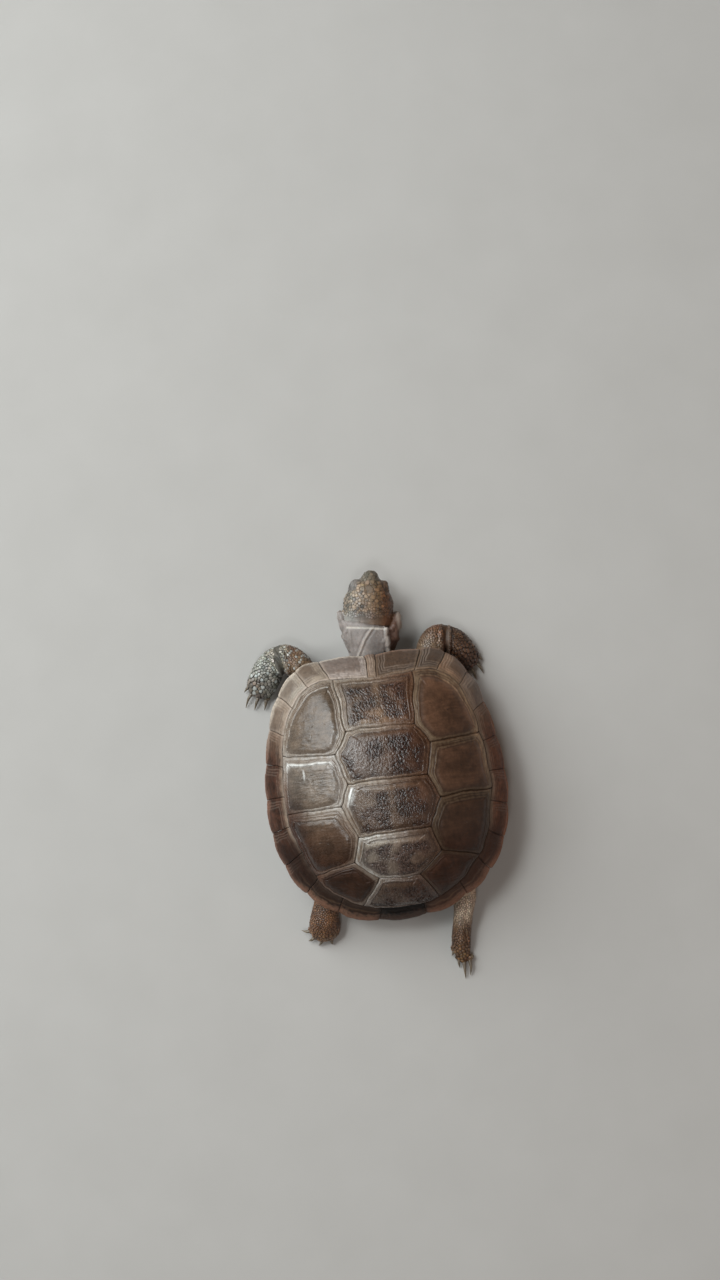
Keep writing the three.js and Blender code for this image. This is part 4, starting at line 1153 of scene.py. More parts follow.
def sculpt_head(p, n):
    """The head's points with beak, mouth, nostrils, lids, brows and ear discs worked in."""
    a, l, u = head_local(p)
    near = (a > -2.5) & (np.abs(l) < 9) & (u > -6)
    q = np.stack([a, l, u], -1)
    normal = unit(np.stack(head_local(p + n * 0.1), -1) - q)
    d = u - mouth_height(a)
    wide = smooth(5.8, 6.6, a) * near
    lift = -0.42 * bell(d, 0.13) * wide
    lift += 0.10 * bell(d - 0.42, 0.28) * wide * smooth(7, 10, a)
    lift -= 0.22 * smooth(-0.02, -0.35, d) * smooth(-3.2, -1.8, d) * wide * smooth(6.5, 9.5, a)
    # a fold from the corner of the mouth down the cheek, and the horny beak a little proud
    below = smooth(-3.7, -1.5, u) * smooth(-0.5, -1.0, u)
    lift -= 0.16 * bell(a - 6.0 + 0.35 * (u + 0.85), 0.2) * below * near
    lift += 0.07 * smooth(0.95, 0.7, np.abs(d - 0.1)) * smooth(9.8, 10.4, a)
    for side in (1, -1):
        flank = (l * side > 3.3) & near & (head_share(a, l, u) > 0.5)
        nostril = np.linalg.norm(q - np.array([NOSE_FROM, side * 0.5, 0.2]), axis=1)
        lift += (0.05 * bell(nostril - 0.36, 0.12) - 0.42 * bell(nostril, 0.2)) * near
        ear = np.hypot(a - EAR[0], u - EAR[1])
        lift -= (0.2 * smooth(1.25, 1.05, ear) + 0.12 * bell(ear - 1.22, 0.14)) * flank
        lift += 0.1 * bell(ear - 1.6, 0.3) * flank
        past = np.maximum(np.abs(a - 9.2) - 1.2, 0)
        brow = np.sqrt(past**2 + (l * side - 2.6) ** 2 * 0.8 + (u - 2.75) ** 2)
        lift += 0.22 * bell(brow, 0.55) * near
        lift += 0.12 * bell(np.hypot(a - 6.6, u + 1.9), 1.3) * flank
    # hollow between the brows
    lift -= 0.14 * bell(l, 1.1) * smooth(7.5, 8.5, a) * smooth(11.2, 10.2, a) * (u > 2)
    q = q + normal * lift[:, None]
    for side in (1, -1):
        centre, out, front = eye_frame(side)
        rise = np.cross(front, out) * -side
        rise = rise if rise[2] > 0 else -rise
        v = q - centre
        r = np.linalg.norm(v, axis=1)
        w = v / np.maximum(r, 1e-6)[:, None]
        facing = w @ out
        x, y = w @ front * 2.0, w @ rise * 2.0 - 0.05
        half = 0.98 * np.maximum(0, 1 - (x / LID_REACH) ** 2) ** 0.8
        past = np.maximum(np.abs(x) - LID_REACH, 0)
        gap = np.where(np.abs(x) < LID_REACH, half - np.abs(y), -np.hypot(past, y))
        lid = LID + 0.07 * bell(gap + 0.14, 0.12) - 0.1 * bell(gap + 0.55, 0.1) - 0.06 * bell(gap + 0.9, 0.1)
        lid = lid + 0.05 * bell(gap + 0.72, 0.12)
        target = mix(lid, 1.45, smooth(-0.03, 0.12, gap))
        pushed = np.where(gap > -0.15, target, np.maximum(target, r))
        hold = smooth(2.7, 2.15, r) * smooth(0.05, 0.3, facing)
        amount = np.where(gap > -1.3, hold * smooth(-1.3, -0.9, gap), 0)
        want = near & (facing > 0.05) & (r < 2.75)
        q = centre + w * np.where(want, mix(r, pushed, amount), r)[:, None]
    bend = -0.28 * smooth(9.5, 13, q[:, 0])
    moved = head_point(q[:, 0], q[:, 1] + bend, q[:, 2])
    return np.where(near[:, None], moved, p)


def line_gap(left, ahead, line):
    """Signed distance, in plan, from a line of points; positive on its left-hand side."""
    line = np.asarray(line, float)
    best = np.full(np.shape(left), 1e9)
    out = np.full(np.shape(left), 1e9)
    for (x0, y0), (x1, y1) in zip(line[:-1], line[1:]):
        dx, dy = x1 - x0, y1 - y0
        t = np.clip(((left - x0) * dx + (ahead - y0) * dy) / (dx * dx + dy * dy), 0, 1)
        gx, gy = left - x0 - t * dx, ahead - y0 - t * dy
        d = np.hypot(gx, gy)
        take = d < best
        best = np.where(take, d, best)
        out = np.where(take, d * np.sign(gx * dy - gy * dx), out)
    return out


# folds of the skin seen from above: line of (left, ahead), height, width
FOLDS = [
    ([(-1.6, 37.2), (0.6, 34.6), (2.6, 31.0)], 0.2, 0.32),
    ([(-4.9, 37.2), (-4.75, 34.5), (-4.6, 31.0)], 0.32, 0.34),
    ([(3.9, 37.6), (3.7, 34.0), (3.5, 31.0)], 0.16, 0.3),
    ([(20.9, 36.0), (20.1, 33.6), (19.2, 29.6)], 0.42, 0.42),
    ([(23.2, 34.2), (22.2, 32.4), (20.6, 28.0)], 0.38, 0.42),
    ([(-20.0, 35.8), (-19.5, 32.5), (-18.8, 28.8)], 0.42, 0.42),
    ([(-18.0, 36.0), (-17.6, 33.5), (-17.0, 30.5)], 0.2, 0.4),
    ([(-13.6, -33.0), (-14.7, -36.0), (-14.8, -39.2)], 0.25, 0.35),
    ([(-16.6, -26.5), (-16.2, -30.5), (-15.4, -33.5)], 0.25, 0.5),
    ([(15.4, -28.6), (17.4, -29.6), (20.6, -28.6)], 0.25, 0.45),
]
NECK_FOLDS = FOLDS[:2]
ELBOW_FOLDS = FOLDS[3:7]


def fold_reach(line, ahead):
    """1 beside a fold, fading to 0 past its two ends."""
    return smooth(-0.2, 0.8, line[0][1] - ahead) * smooth(-1.0, 0.2, ahead - line[-1][1])


def sculpt_folds(p, n):
    left, ahead, up = body_of_point(p)
    top = smooth(-0.15, 0.45, n[:, 2])
    lift = np.zeros(len(p))
    for line, height, width in FOLDS:
        d = line_gap(left, ahead, line)
        ridge = bell(d, width) - 0.75 * bell(np.abs(d) - 1.7 * width, 0.8 * width)
        lift += height * ridge * fold_reach(line, ahead) * top
    # a hollow in the collar, right of its ridge
    hollow = smooth(-5.2, -5.7, left) * smooth(-7.4, -6.9, left)
    hollow = hollow * smooth(30.5, 32, ahead) * smooth(37.5, 35.5, ahead)
    lift -= 0.8 * hollow * (up > 8)
    return p + n * lift[:, None]


VOXEL = 0.38


def build_skin():
    """One closed skin over trunk, neck, collar, head, tail, legs and toes, finer where more of it shows."""
    legs = [tube_rows(leg["stations"], 48, 60, -COAT_DEPTH, True) for leg in LEGS.values()]
    claws = [claw for leg in LEGS.values() for claw in leg["claws"]]
    toes = [ball_rows(place(*claw[0]) - np.array([0, 0, 0.1]), 0.86, 14, 20) for claw in claws]
    for rows3 in toes:
        rows3[..., 2] = np.maximum(rows3[..., 2], 0.05)
    eyes = [ball_rows(head_point(*eye_frame(side)[0]), LID - 0.03) for side in (1, -1)]
    mesh = union([trunk_rows(), tube_rows(NECK, 48, 40, -0.1), collar_rows(), head_rows_3d(-0.08),
                  tube_rows(TAIL, 32, 40, -0.08, True), *legs, *toes, *eyes], VOXEL)
    p, e, t = mesh_arrays(mesh)
    p = relax(p, e, 4)
    put_points(mesh, p)
    left, ahead, _ = body_of_point(p)
    refine(mesh, (region_of(p)[0] >= 0) & (np.hypot(left, ahead - SHELL_MID_AHEAD) > 19))
    p, e, t = mesh_arrays(mesh)
    p = relax(p, e, 4)
    a, l, u = head_local(p)
    p = relax(p, e, 16, smooth(-3.5, -1.5, a) * (a < 6) * (head_share(a, l, u) < 0.5))
    put_points(mesh, p)
    a, l, u = head_local(p)
    eye_gap = np.minimum(*[from_eye(np.stack([a, l, u], -1), side) for side in (1, -1)])
    at_mouth = (a > 5) & (np.abs(l) < 7.5) & (np.abs(u - mouth_height(a)) < 0.65)
    refine(mesh, (eye_gap < 2.6) | at_mouth | (a > 11.8))
    p, e, t = mesh_arrays(mesh)
    p = relax(p, e, 2)
    put_points(mesh, p)
    for sculpt in (sculpt_folds, sculpt_head):
        p = sculpt(p, point_normals(p, t))
    n = point_normals(p, t)
    part = region_of(p)[0]
    side = smooth(0.75, 0.2, n[:, 2])
    ruck = 1 - np.abs(noise(p + fbm(p, 0.3, 84, 2)[:, None] * 1.5, (0.5, 1.25, 0.45), 83)) * 2.2
    drape = 1 - np.abs(noise(p + fbm(p, 0.25, 86, 2)[:, None] * 2.0, (0.42, 0.42, 0.14), 85)) * 2.4
    ruck = ruck * smooth(0.5, -3.0, head_local(p)[0])
    folds = np.where(part == -1, 0.4 * drape + 0.08 * ruck, 0.0)
    folds = np.where(part == 1, mix(0.03, 0.11, side) * ruck, folds)
    p = p + n * (0.05 * fbm(p, 0.9, 81, 2) + folds)[:, None]
    p[:, 2] = np.maximum(p[:, 2], 0.03)
    put_points(mesh, p)
    return mesh


# ---- markings of the flesh ----
def neck_tint(left, ahead, up, a, l, u, n1, n2):
    """Grey, smooth skin of the neck and collar, paler on its fold crests, lip and collar edges as painted
    highlight, darker right of its ridge, between its folds and low down as painted shade.
    """
    crests = [bell(line_gap(left, ahead, fold[0]), width) for fold, width in zip(NECK_FOLDS, (0.3, 0.4))]
    crest = np.maximum(*crests)
    lip = bell(a + 0.35, 0.2) * smooth(5.0, 4.2, -l) * smooth(5.4, 4.8, l) * (u > 0)
    return paint(
        blend(rgb(118, 110, 105), rgb(142, 133, 128), 0.5 + n1 * 0.6 + n2 * 0.3),
        (rgb(134, 118, 98), smooth(9.0, 5.5, up) * 0.8),
        # painted shadow right of the collar's ridge
        (rgb(84, 54, 38), 0.85 * smooth(-5.0, -5.7, left) * smooth(6.5, 9.0, up)),
        # painted shade between the folds
        (0.7, bell(left + 1.6, 1.4) * smooth(8, 10, up)),
        # painted highlight on the crests of the folds
        (rgb(188, 176, 164), 0.35 * crest * smooth(9, 11, up)),
        # painted highlight along the lip
        (rgb(206, 198, 186), 0.7 * lip),
        # painted shade low on the neck
        ((0.66, 0.55, 0.5), smooth(8.6, 6.8, up)),
        # painted highlight on the outer edges of the collar
        (rgb(180, 168, 156), 0.5 * smooth(6.6, 7.3, np.abs(left + 0.75)) * (ahead > 36)),
    )


def head_tint(p, a, l, u, n1, n2):
    """Mottled crown, smooth grey back, pale cheeks, streaked beak; painted shade makes the mouth line,
    nostrils, eye gaps, sides and right half dark, a painted shadow lies in front of the collar's lip, and
    painted sheen lightens the left.
    """
    off_mouth = u - mouth_height(a)
    mottle = noise(p, 1.1, 94) + 0.6 * noise(p, 2.3, 95)
    worm = np.clip(1 - np.abs(noise(p, 1.2, 112)) * 4.5, 0, 1)
    worm = worm * smooth(2.8, 4.2, a) * smooth(5.2, 3.6, np.abs(l))
    back = blend(rgb(88, 82, 76), rgb(116, 108, 101), 0.5 + n1 + 0.4 * n2)
    # the back lighter on the left and darker and browner on the right: painted light and shade
    back = blend(back * np.array([1.0, 0.82, 0.7]), back * 1.2, smooth(-2.5, 4.0, l))
    cheek = blend(rgb(122, 106, 82), rgb(150, 132, 104), 0.5 + n1 * 0.7 + 0.4 * mottle)
    streak = noise(np.stack([a * 0.4, l, u * 0.35], -1), 4.0, 98)
    beak = blend(rgb(92, 80, 62), rgb(128, 112, 88), 0.5 + streak * 0.9)
    painted_side_shade = smooth(2.6, 4.2, np.abs(l)) * smooth(-0.2, 1.2, u)
    head = paint(
        blend(rgb(50, 42, 34), rgb(116, 95, 75), 0.55 + 1.3 * mottle + 0.4 * n1),
        (rgb(152, 124, 98), 0.55 * smooth(0.25, 0.6, noise(p, 1.9, 93))),
        (rgb(160, 136, 106), 0.4 * worm * smooth(0.5, 1.8, u)),
        (rgb(104, 90, 77), 0.6 * bell(np.hypot(a - 8.7, l + 0.1), 1.2)),
        (back, smooth(4.2, 2.2, a + 1.1 * noise(p, 0.45, 96))),
        (blend(rgb(72, 70, 62), rgb(102, 98, 88), 0.5 + mottle), 0.85 * smooth(10.0, 11.4, a)),
        # painted shade on the sides of the head, browner on the right
        (rgb(80, 74, 66), 0.5 * painted_side_shade),
        ((1.15, 0.82, 0.62), painted_side_shade * (l < 0)),
        (cheek, 0.85 * smooth(0.0, -1.8, u + 0.5 * noise(p, 0.5, 97))),
        (beak, smooth(1.1, 0.8, np.abs(off_mouth)) * smooth(8.8, 10.0, a)),
        # painted shade in the mouth line
        (rgb(36, 29, 24), 0.8 * bell(off_mouth, 0.12) * smooth(5.9, 6.5, a)),
    )
    for side in (1, -1):
        nostril = np.linalg.norm(np.stack([a - NOSE_FROM, l + 0.28 - side * 0.5, u - 0.2], -1), axis=-1)
        eye = from_eye(np.stack([a, l, u], -1), side)
        head = paint(
            head,
            # painted shade in the nostril
            (rgb(24, 20, 18), bell(nostril, 0.24)),
            (blend(rgb(72, 66, 62), rgb(100, 92, 88), 0.5 + mottle), 0.8 * smooth(2.6, 2.15, eye)),
            # painted shade in the gap round the eye
            (rgb(26, 22, 20), smooth(1.93, 1.75, eye)),
        )
    return paint(
        head,
        # painted shade on the right
        ((0.84, 0.66, 0.5), smooth(1.5, -4.0, l)),
        # painted sheen on the upper left side
        ((1.6, 1.75, 1.85), smooth(2.0, 4.4, l) * smooth(-0.5, 1.5, u)),
        ((1.25, 1.2, 1.15), smooth(10.4, 11.6, a)),
        # painted shadow of the collar's lip on the back of the head
        (rgb(34, 28, 24), 0.75 * bell(a - 0.3, 0.3) * (np.abs(l) < 5.6)),
    )


# dark and pale skin, crests of the folds, and a factor on the golden beads near the shell; the left arm's
# values are lighter with painted sheen, the right's darker with painted shade
ARM_COLOURS = {
    "fore_l": (rgb(86, 86, 78), rgb(158, 156, 146), rgb(196, 190, 180), (0.9, 0.76, 0.68)),
    "fore_r": (rgb(64, 44, 31), rgb(98, 70, 49), rgb(134, 108, 88), (0.6, 0.48, 0.36)),
}


def arm_tint(name, p, along, n1, n2):
    """Grey and pale on the left arm, partly painted sheen, brown on the right, partly painted shade; darker
    toward the hand as painted shade.
    """
    left, ahead, up = body_of_point(p)
    dark, pale, crest, gold = ARM_COLOURS[name]
    arm = blend(dark, pale, 0.5 + n1 * 0.7 + n2 * 0.4)
    hand = smooth(31.2, 28.6, ahead) * smooth(0.45, 0.55, along)
    if name == "fore_l":
        arm = paint(arm, ((0.95, 0.86, 0.78), smooth(0.55, 0.42, along)))
        hand = hand * mix(0.35, 1.0, smooth(24.0, 27.0, left))
    # painted shade toward the hand
    arm = paint(arm, ((0.4, 0.3, 0.26), 0.85 * hand))
    for line, _, _ in ELBOW_FOLDS:
        arm = blend(arm, crest, 0.7 * bell(line_gap(left, ahead, line), 0.32) * fold_reach(line, ahead))
    if name == "fore_l":
        beside = bell(line_gap(left, ahead, ELBOW_FOLDS[0][0]) - 0.9, 0.7) * (ahead < 33)
        arm = blend(arm, rgb(168, 140, 124), 0.6 * beside)
    bead = smooth(0.46, 0.36, along) * smooth(29.5, 31.5, ahead) * smooth(20.0, 17.4, np.abs(left))
    golden = blend(rgb(84, 58, 42), rgb(150, 108, 78), 0.5 + n2 + noise(p, 1.8, 99) * 0.6) * gold
    return paint(arm, (golden, 0.9 * bead), (rgb(112, 96, 78), 0.6 * smooth(1.3, 0.5, up)))


def leg_tint(name, along, n1, n2):
    """Brown hind legs and tail; the right leg is pale where its skin is bare."""
    leg = blend(rgb(78, 55, 38), rgb(120, 90, 64), 0.5 + n1 * 0.7 + n2 * 0.5)
    if name == "hind_l":
        leg = leg * np.array([0.88, 0.74, 0.63])
    if name == "hind_r":
        leg = paint(leg * np.array([0.84, 0.76, 0.66]), (rgb(188, 166, 143), 0.85 * smooth(0.6, 0.44, along)),
                    ((0.72, 0.56, 0.47), smooth(0.8, 0.9, along)))
    return blend(leg, rgb(124, 94, 62), 0.55 * smooth(0.66, 0.86, along) * smooth(-0.3, 0.3, n2 + 0.1))


def flesh_tint(p, part, along):
    """Colour of the skin and scales at points: the same field for both."""
    left, ahead, up = body_of_point(p)
    a, l, u = head_local(p)
    n1, n2 = fbm(p, 0.35, 91), fbm(p, 1.3, 92)
    at_neck = smooth(27.5, 30.5, ahead) * smooth(11.0, 10.0, np.abs(left + 0.5)) * (part <= 1)
    tint = paint(
        blend(rgb(98, 84, 68), rgb(132, 116, 96), 0.5 + n1 * 0.7 + n2 * 0.3),
        (neck_tint(left, ahead, up, a, l, u, n1, n2), at_neck),
        (head_tint(p, a, l, u, n1, n2), head_share(a, l, u)),
    )
    for name in ARM_COLOURS:
        here = part == PARTS.index(name)
        if here.any():
            # painted shade: darker near the shell
            shoulder = tint * np.array([0.72, 0.6, 0.52])
            arm = blend(shoulder, arm_tint(name, p, along, n1, n2), smooth(0.24, 0.38, along))
            tint = np.where(here[:, None], arm, tint)
    for name in ("hind_l", "hind_r", "tail"):
        tint = np.where((part == PARTS.index(name))[:, None], leg_tint(name, along, n1, n2), tint)
    # deep shade under the shell
    from_rim = np.hypot(left, ahead - SHELL_MID_AHEAD) - around(RIM_RADIUS, turn_and_share(left, ahead)[0])
    return paint(tint, (0.72, smooth(2.0, -2.0, from_rim + 3.0) * (part != 0)))


skin_mesh = build_skin()
skin_p, _, skin_t = mesh_arrays(skin_mesh)
skin_n = point_normals(skin_p, skin_t)
part, along, _ = region_of(skin_p)
skin_tint = flesh_tint(skin_p, part, along)

# painted shade in the gaps: the skin between the scales of the legs is darker than on the scales
between = np.where(part == PARTS.index("fore_l"), 0.3, 0.5)
skin_tint = skin_tint * np.where((part >= PARTS.index("fore_l")) & (along > 0.3), between, 1)[:, None]
skin_tint = skin_tint * (1 + 0.10 * fbm(skin_p, 2.2, 101, 2))[:, None]


# ---- scales ----
# each scaly limb: where its scales start and end, half their spacing near the shell and on the foot, and
# the places along it between which they grow
LIMB_SCALES = {
    "fore_l": (0.22, 0.985, 0.27, 0.37, 0.42, 0.6),
    "fore_r": (0.22, 0.985, 0.27, 0.44, 0.42, 0.6),
    "hind_l": (0.3, 0.985, 0.24, 0.36, 0.55, 0.8),
    "hind_r": (0.3, 0.985, 0.24, 0.36, 0.55, 0.8),
    "tail": (0.45, 0.97, 0.25, 0.25, 0.5, 1.0),
}
# bare skin beside the folds of the elbows: line, and how far from it
BARE_FOLDS = {
    "fore_l": ([(20.5, 36.0), (20.7, 33.2), (19.9, 29.2)], 0.9),
    "fore_r": ([(-19.4, 36), (-19.2, 32.5), (-18.4, 28.8)], 0.3),
}


def scale_size(p, n, part, along):
    """Half the spacing of the scales in mm, 0 where the skin is bare."""
    left, ahead, up = body_of_point(p)
    size = np.zeros(len(p))
    vary = 1 + 0.22 * noise(p, 0.5, 103)
    for name, (start, end, small, big, grow_from, grow_to) in LIMB_SCALES.items():
        here = (part == PARTS.index(name)) & (along > start) & (along < end)
        arm = mix(small, big, smooth(grow_from, grow_to, along)) * vary
        if name in BARE_FOLDS:
            line, beside = BARE_FOLDS[name]
            outer = smooth(0.5, 0.7, along) * smooth(20, 25, np.abs(left)) * smooth(6, 2, up)
            arm = mix(arm, arm * 1.25, outer)
            arm = np.where((np.abs(line_gap(left, ahead, line) + beside) < 0.85) & (n[:, 2] > -0.2), 0, arm)
        size = np.where(here, arm, size)
    a, l, u = head_local(p)
    off_mouth = np.abs(u - mouth_height(a))
    head = np.where(u < -1.9, 0.27, mix(0.27, 0.37, smooth(3, 6.5, a))) * vary
    bare = (a < 2.6 + 0.8 * noise(p, 0.4, 96)) | (a > 12.9) | ((off_mouth < 1.05) & (a > 9.4))
    bare |= (off_mouth < 0.32) & (a > 5.9)
    for side in (1, -1):
        bare |= from_eye(np.stack([a, l, u], -1), side) < 2.27
        bare |= (np.hypot(a - EAR[0], u - EAR[1]) < 1.3) & (l * side > 3)
    size = np.where(part == 0, np.where(bare, 0, head), size)
    size[p[:, 2] < 0.16] = 0
    return size


def tree_of(points):
    tree = KDTree(len(points))
    for k, c in enumerate(points):
        tree.insert(c, k)
    tree.balance()
    return tree


SCALE_CROWDING = 3.2
SCALE_SPACING = 1.72


def scatter(p, t, size, rng):
    """Root points on the skin, spaced by the local size."""
    s = size[t].min(1)
    keep = s > 0.05
    t, s = t[keep], s[keep]
    area = np.linalg.norm(np.cross(p[t[:, 1]] - p[t[:, 0]], p[t[:, 2]] - p[t[:, 0]]), axis=1) / 2
    which = np.repeat(np.arange(len(t)), rng.poisson(area / s**2 * SCALE_CROWDING))
    rng.shuffle(which)
    w = rng.dirichlet((1, 1, 1), len(which))
    at = (p[t[which]] * w[..., None]).sum(1)
    radius = s[which]
    tree = tree_of(at)
    alive = np.ones(len(at), bool)
    chosen = []
    for k in range(len(at)):
        if alive[k]:
            chosen.append(k)
            for _, j, _ in tree.find_range(at[k], radius[k] * SCALE_SPACING):
                alive[j] = False
    return at[chosen], radius[chosen]


def settle(at, radius, surface, rounds):
    """Root points moved apart a little and put back on the skin, with its normals."""
    for _ in range(rounds):
        tree = tree_of(at)
        new = at.copy()
        for k, c in enumerate(at):
            for co, j, d in tree.find_n(c, 7):
                ideal = (radius[k] + radius[j]) * 1.02
                if j != k and 1e-6 < d < ideal:
                    new[k] += (c - np.array(co)) / d * (ideal - d) * 0.42
        found = [surface.find_nearest(Vector(c)) for c in new]
        at = np.array([f[0] for f in found], float)
        normals = np.array([f[1] for f in found], float)
    return at, normals


# rings of a scale from its foot to its crown: share of its outline, share of its height, factor on its
# colour, which paints shade at the foot and light on the crown
SCALE_RINGS = [(1.0, -0.9, 0.32), (1.0, 0.25, 0.42), (0.93, 0.62, 0.78), (0.76, 0.88, 1.04), (0.4, 1.0, 1.18)]
PLAIN_SCALE_RINGS = [(1.0, -0.9, 0.32), (1.0, 0.25, 0.42), (0.86, 0.76, 0.78), (0.5, 1.0, 1.04)]
SCALE_NEIGHBOURS = 12
SCALE_ROOT = 0.13
ROUNDING = 14.0


def scale_meshes(at, normal, radius, lie, height, sides, lean, flatness):
    """Points and faces of a field of scales, each bounded by its neighbours; also the place of each point on
    its scale, the factors of painted shade and light on a scale's colour, and the number of points in a
    scale."""
    count = len(at)
    tree = tree_of(at)
    near = np.zeros((count, SCALE_NEIGHBOURS), int)
    for k, c in enumerate(at):
        got = [j for _, j, _ in tree.find_n(c, SCALE_NEIGHBOURS + 1) if j != k][:SCALE_NEIGHBOURS]
        near[k, :len(got)] = got
        near[k, len(got):] = got[0] if got else k
    front = unit(lie - normal * np.einsum("ij,ij->i", lie, normal)[:, None])
    across = np.cross(normal, front)
    v = at[near] - at[:, None]
    vx, vy = (np.einsum("ikj,ij->ik", v, axis) for axis in (front, across))
    length = np.maximum(np.hypot(vx, vy), 1e-6)
    half = length * (radius[:, None] / (radius[:, None] + radius[near]))
    angle = 2 * np.pi * np.arange(sides) / sides
    cos, sin = np.cos(angle), np.sin(angle)
    facing = (vx[..., None] * cos + vy[..., None] * sin) / length[..., None]
    inverse = np.maximum(facing, 0) / half[..., None]
    widest = 1 / (radius[:, None] * 1.6)
    reach = (np.sum(inverse**ROUNDING, 1) + widest**ROUNDING) ** (-1 / ROUNDING) * 0.955
    rings = PLAIN_SCALE_RINGS if sides < 10 else SCALE_RINGS
    points = []
    for share, rise, _ in rings:
        x, y = reach * share * cos, reach * share * sin
        tilt = 1 + lean[:, None] * x / radius[:, None]
        z = -SCALE_ROOT + 0 * x
        if rise > 0:
            z = mix(rise, min(rise * 1.5, 0.97), flatness) * height[:, None] * tilt
        x = x + (lean * 0.35 * radius)[:, None] * max(rise, 0) * smooth(-0.2, 0.6, x / radius[:, None])
        points.append(at[:, None] + x[..., None] * front[:, None] + y[..., None] * across[:, None]
                      + z[..., None] * normal[:, None])
    top = at + normal * (height * 1.02)[:, None]
    low = at - normal * SCALE_ROOT
    per = len(rings) * sides + 2
    block = np.concatenate([np.stack(points, 1).reshape(count, -1, 3), top[:, None], low[:, None]], 1)
    k = np.arange(sides)
    nxt = (k + 1) % sides
    quads = np.concatenate([r * sides + np.stack([k, nxt, sides + nxt, sides + k], -1)
                            for r in range(len(rings) - 1)])
    last = (len(rings) - 1) * sides
    tris = np.concatenate([np.stack([last + k, last + nxt, np.full(sides, per - 2)], -1),
                           np.stack([nxt, k, np.full(sides, per - 1)], -1)])
    shift = (np.arange(count) * per)[:, None, None]
    local = np.concatenate([np.stack([reach * s * cos, reach * s * sin], -1) for s, _, _ in rings], 1)
    local = np.concatenate([local, np.zeros((count, 2, 2))], 1) / radius[:, None, None]
    # painted light on the crown and painted shade at the foot of each scale
    shade = np.concatenate([np.repeat([colour for _, _, colour in rings], sides), [1.25, 0.4]])
    return (block.reshape(-1, 3), (quads[None] + shift).reshape(-1, 4), (tris[None] + shift).reshape(-1, 3),
            local, shade, per)


MAP_CELL = (0.25, 0.33)
MAP_PATCH = (0.22, 0.3)
MAP_INSET = 0.015
MAP_PER_RADIUS = 0.0012


def unwrap(p, part, along):
    """Places on an unwrap of the skin: round and along each part, each part in its own cell."""
    uv = np.zeros((len(p), 2))
    for k, name in enumerate(PARTS):
        here = part == k
        if not here.any():
            continue
        if name == "head":
            a, l, u = head_local(p[here])
            turn, run = np.arctan2(u + 0.2, l), a / 14
        else:
            _, centres, tangents = path_line(name)
            where = np.round(along[here] * PATH_STEPS).astype(int)
            tangent = tangents[where]
            side = unit(np.cross(tangent, [0, 0, 1.0]))
            v = p[here] - centres[where]
            x, y, z = (np.einsum("ij,ij->i", v, axis) for axis in (side, np.cross(side, tangent), tangent))
            turn, run = np.arctan2(y, x), along[here] + z / 40
        cell = np.array([k % 4, k // 4]) * MAP_CELL + MAP_INSET
        uv[here] = cell + np.stack([turn / (2 * np.pi) + 0.5, np.clip(run, 0, 1)], -1) * MAP_PATCH
    return uv


# the large shields on top of the head: along, left and radius
SHIELDS = ((8.7, -0.1, 0.95), (10.5, 0.5, 0.55), (10.5, -0.6, 0.55), (11.6, 0, 0.4), (8.9, 1.6, 0.55),
           (8.8, -1.8, 0.55), (7.1, 0.7, 0.5), (7.0, -0.9, 0.52))
GLINT_SHARE = 0.14


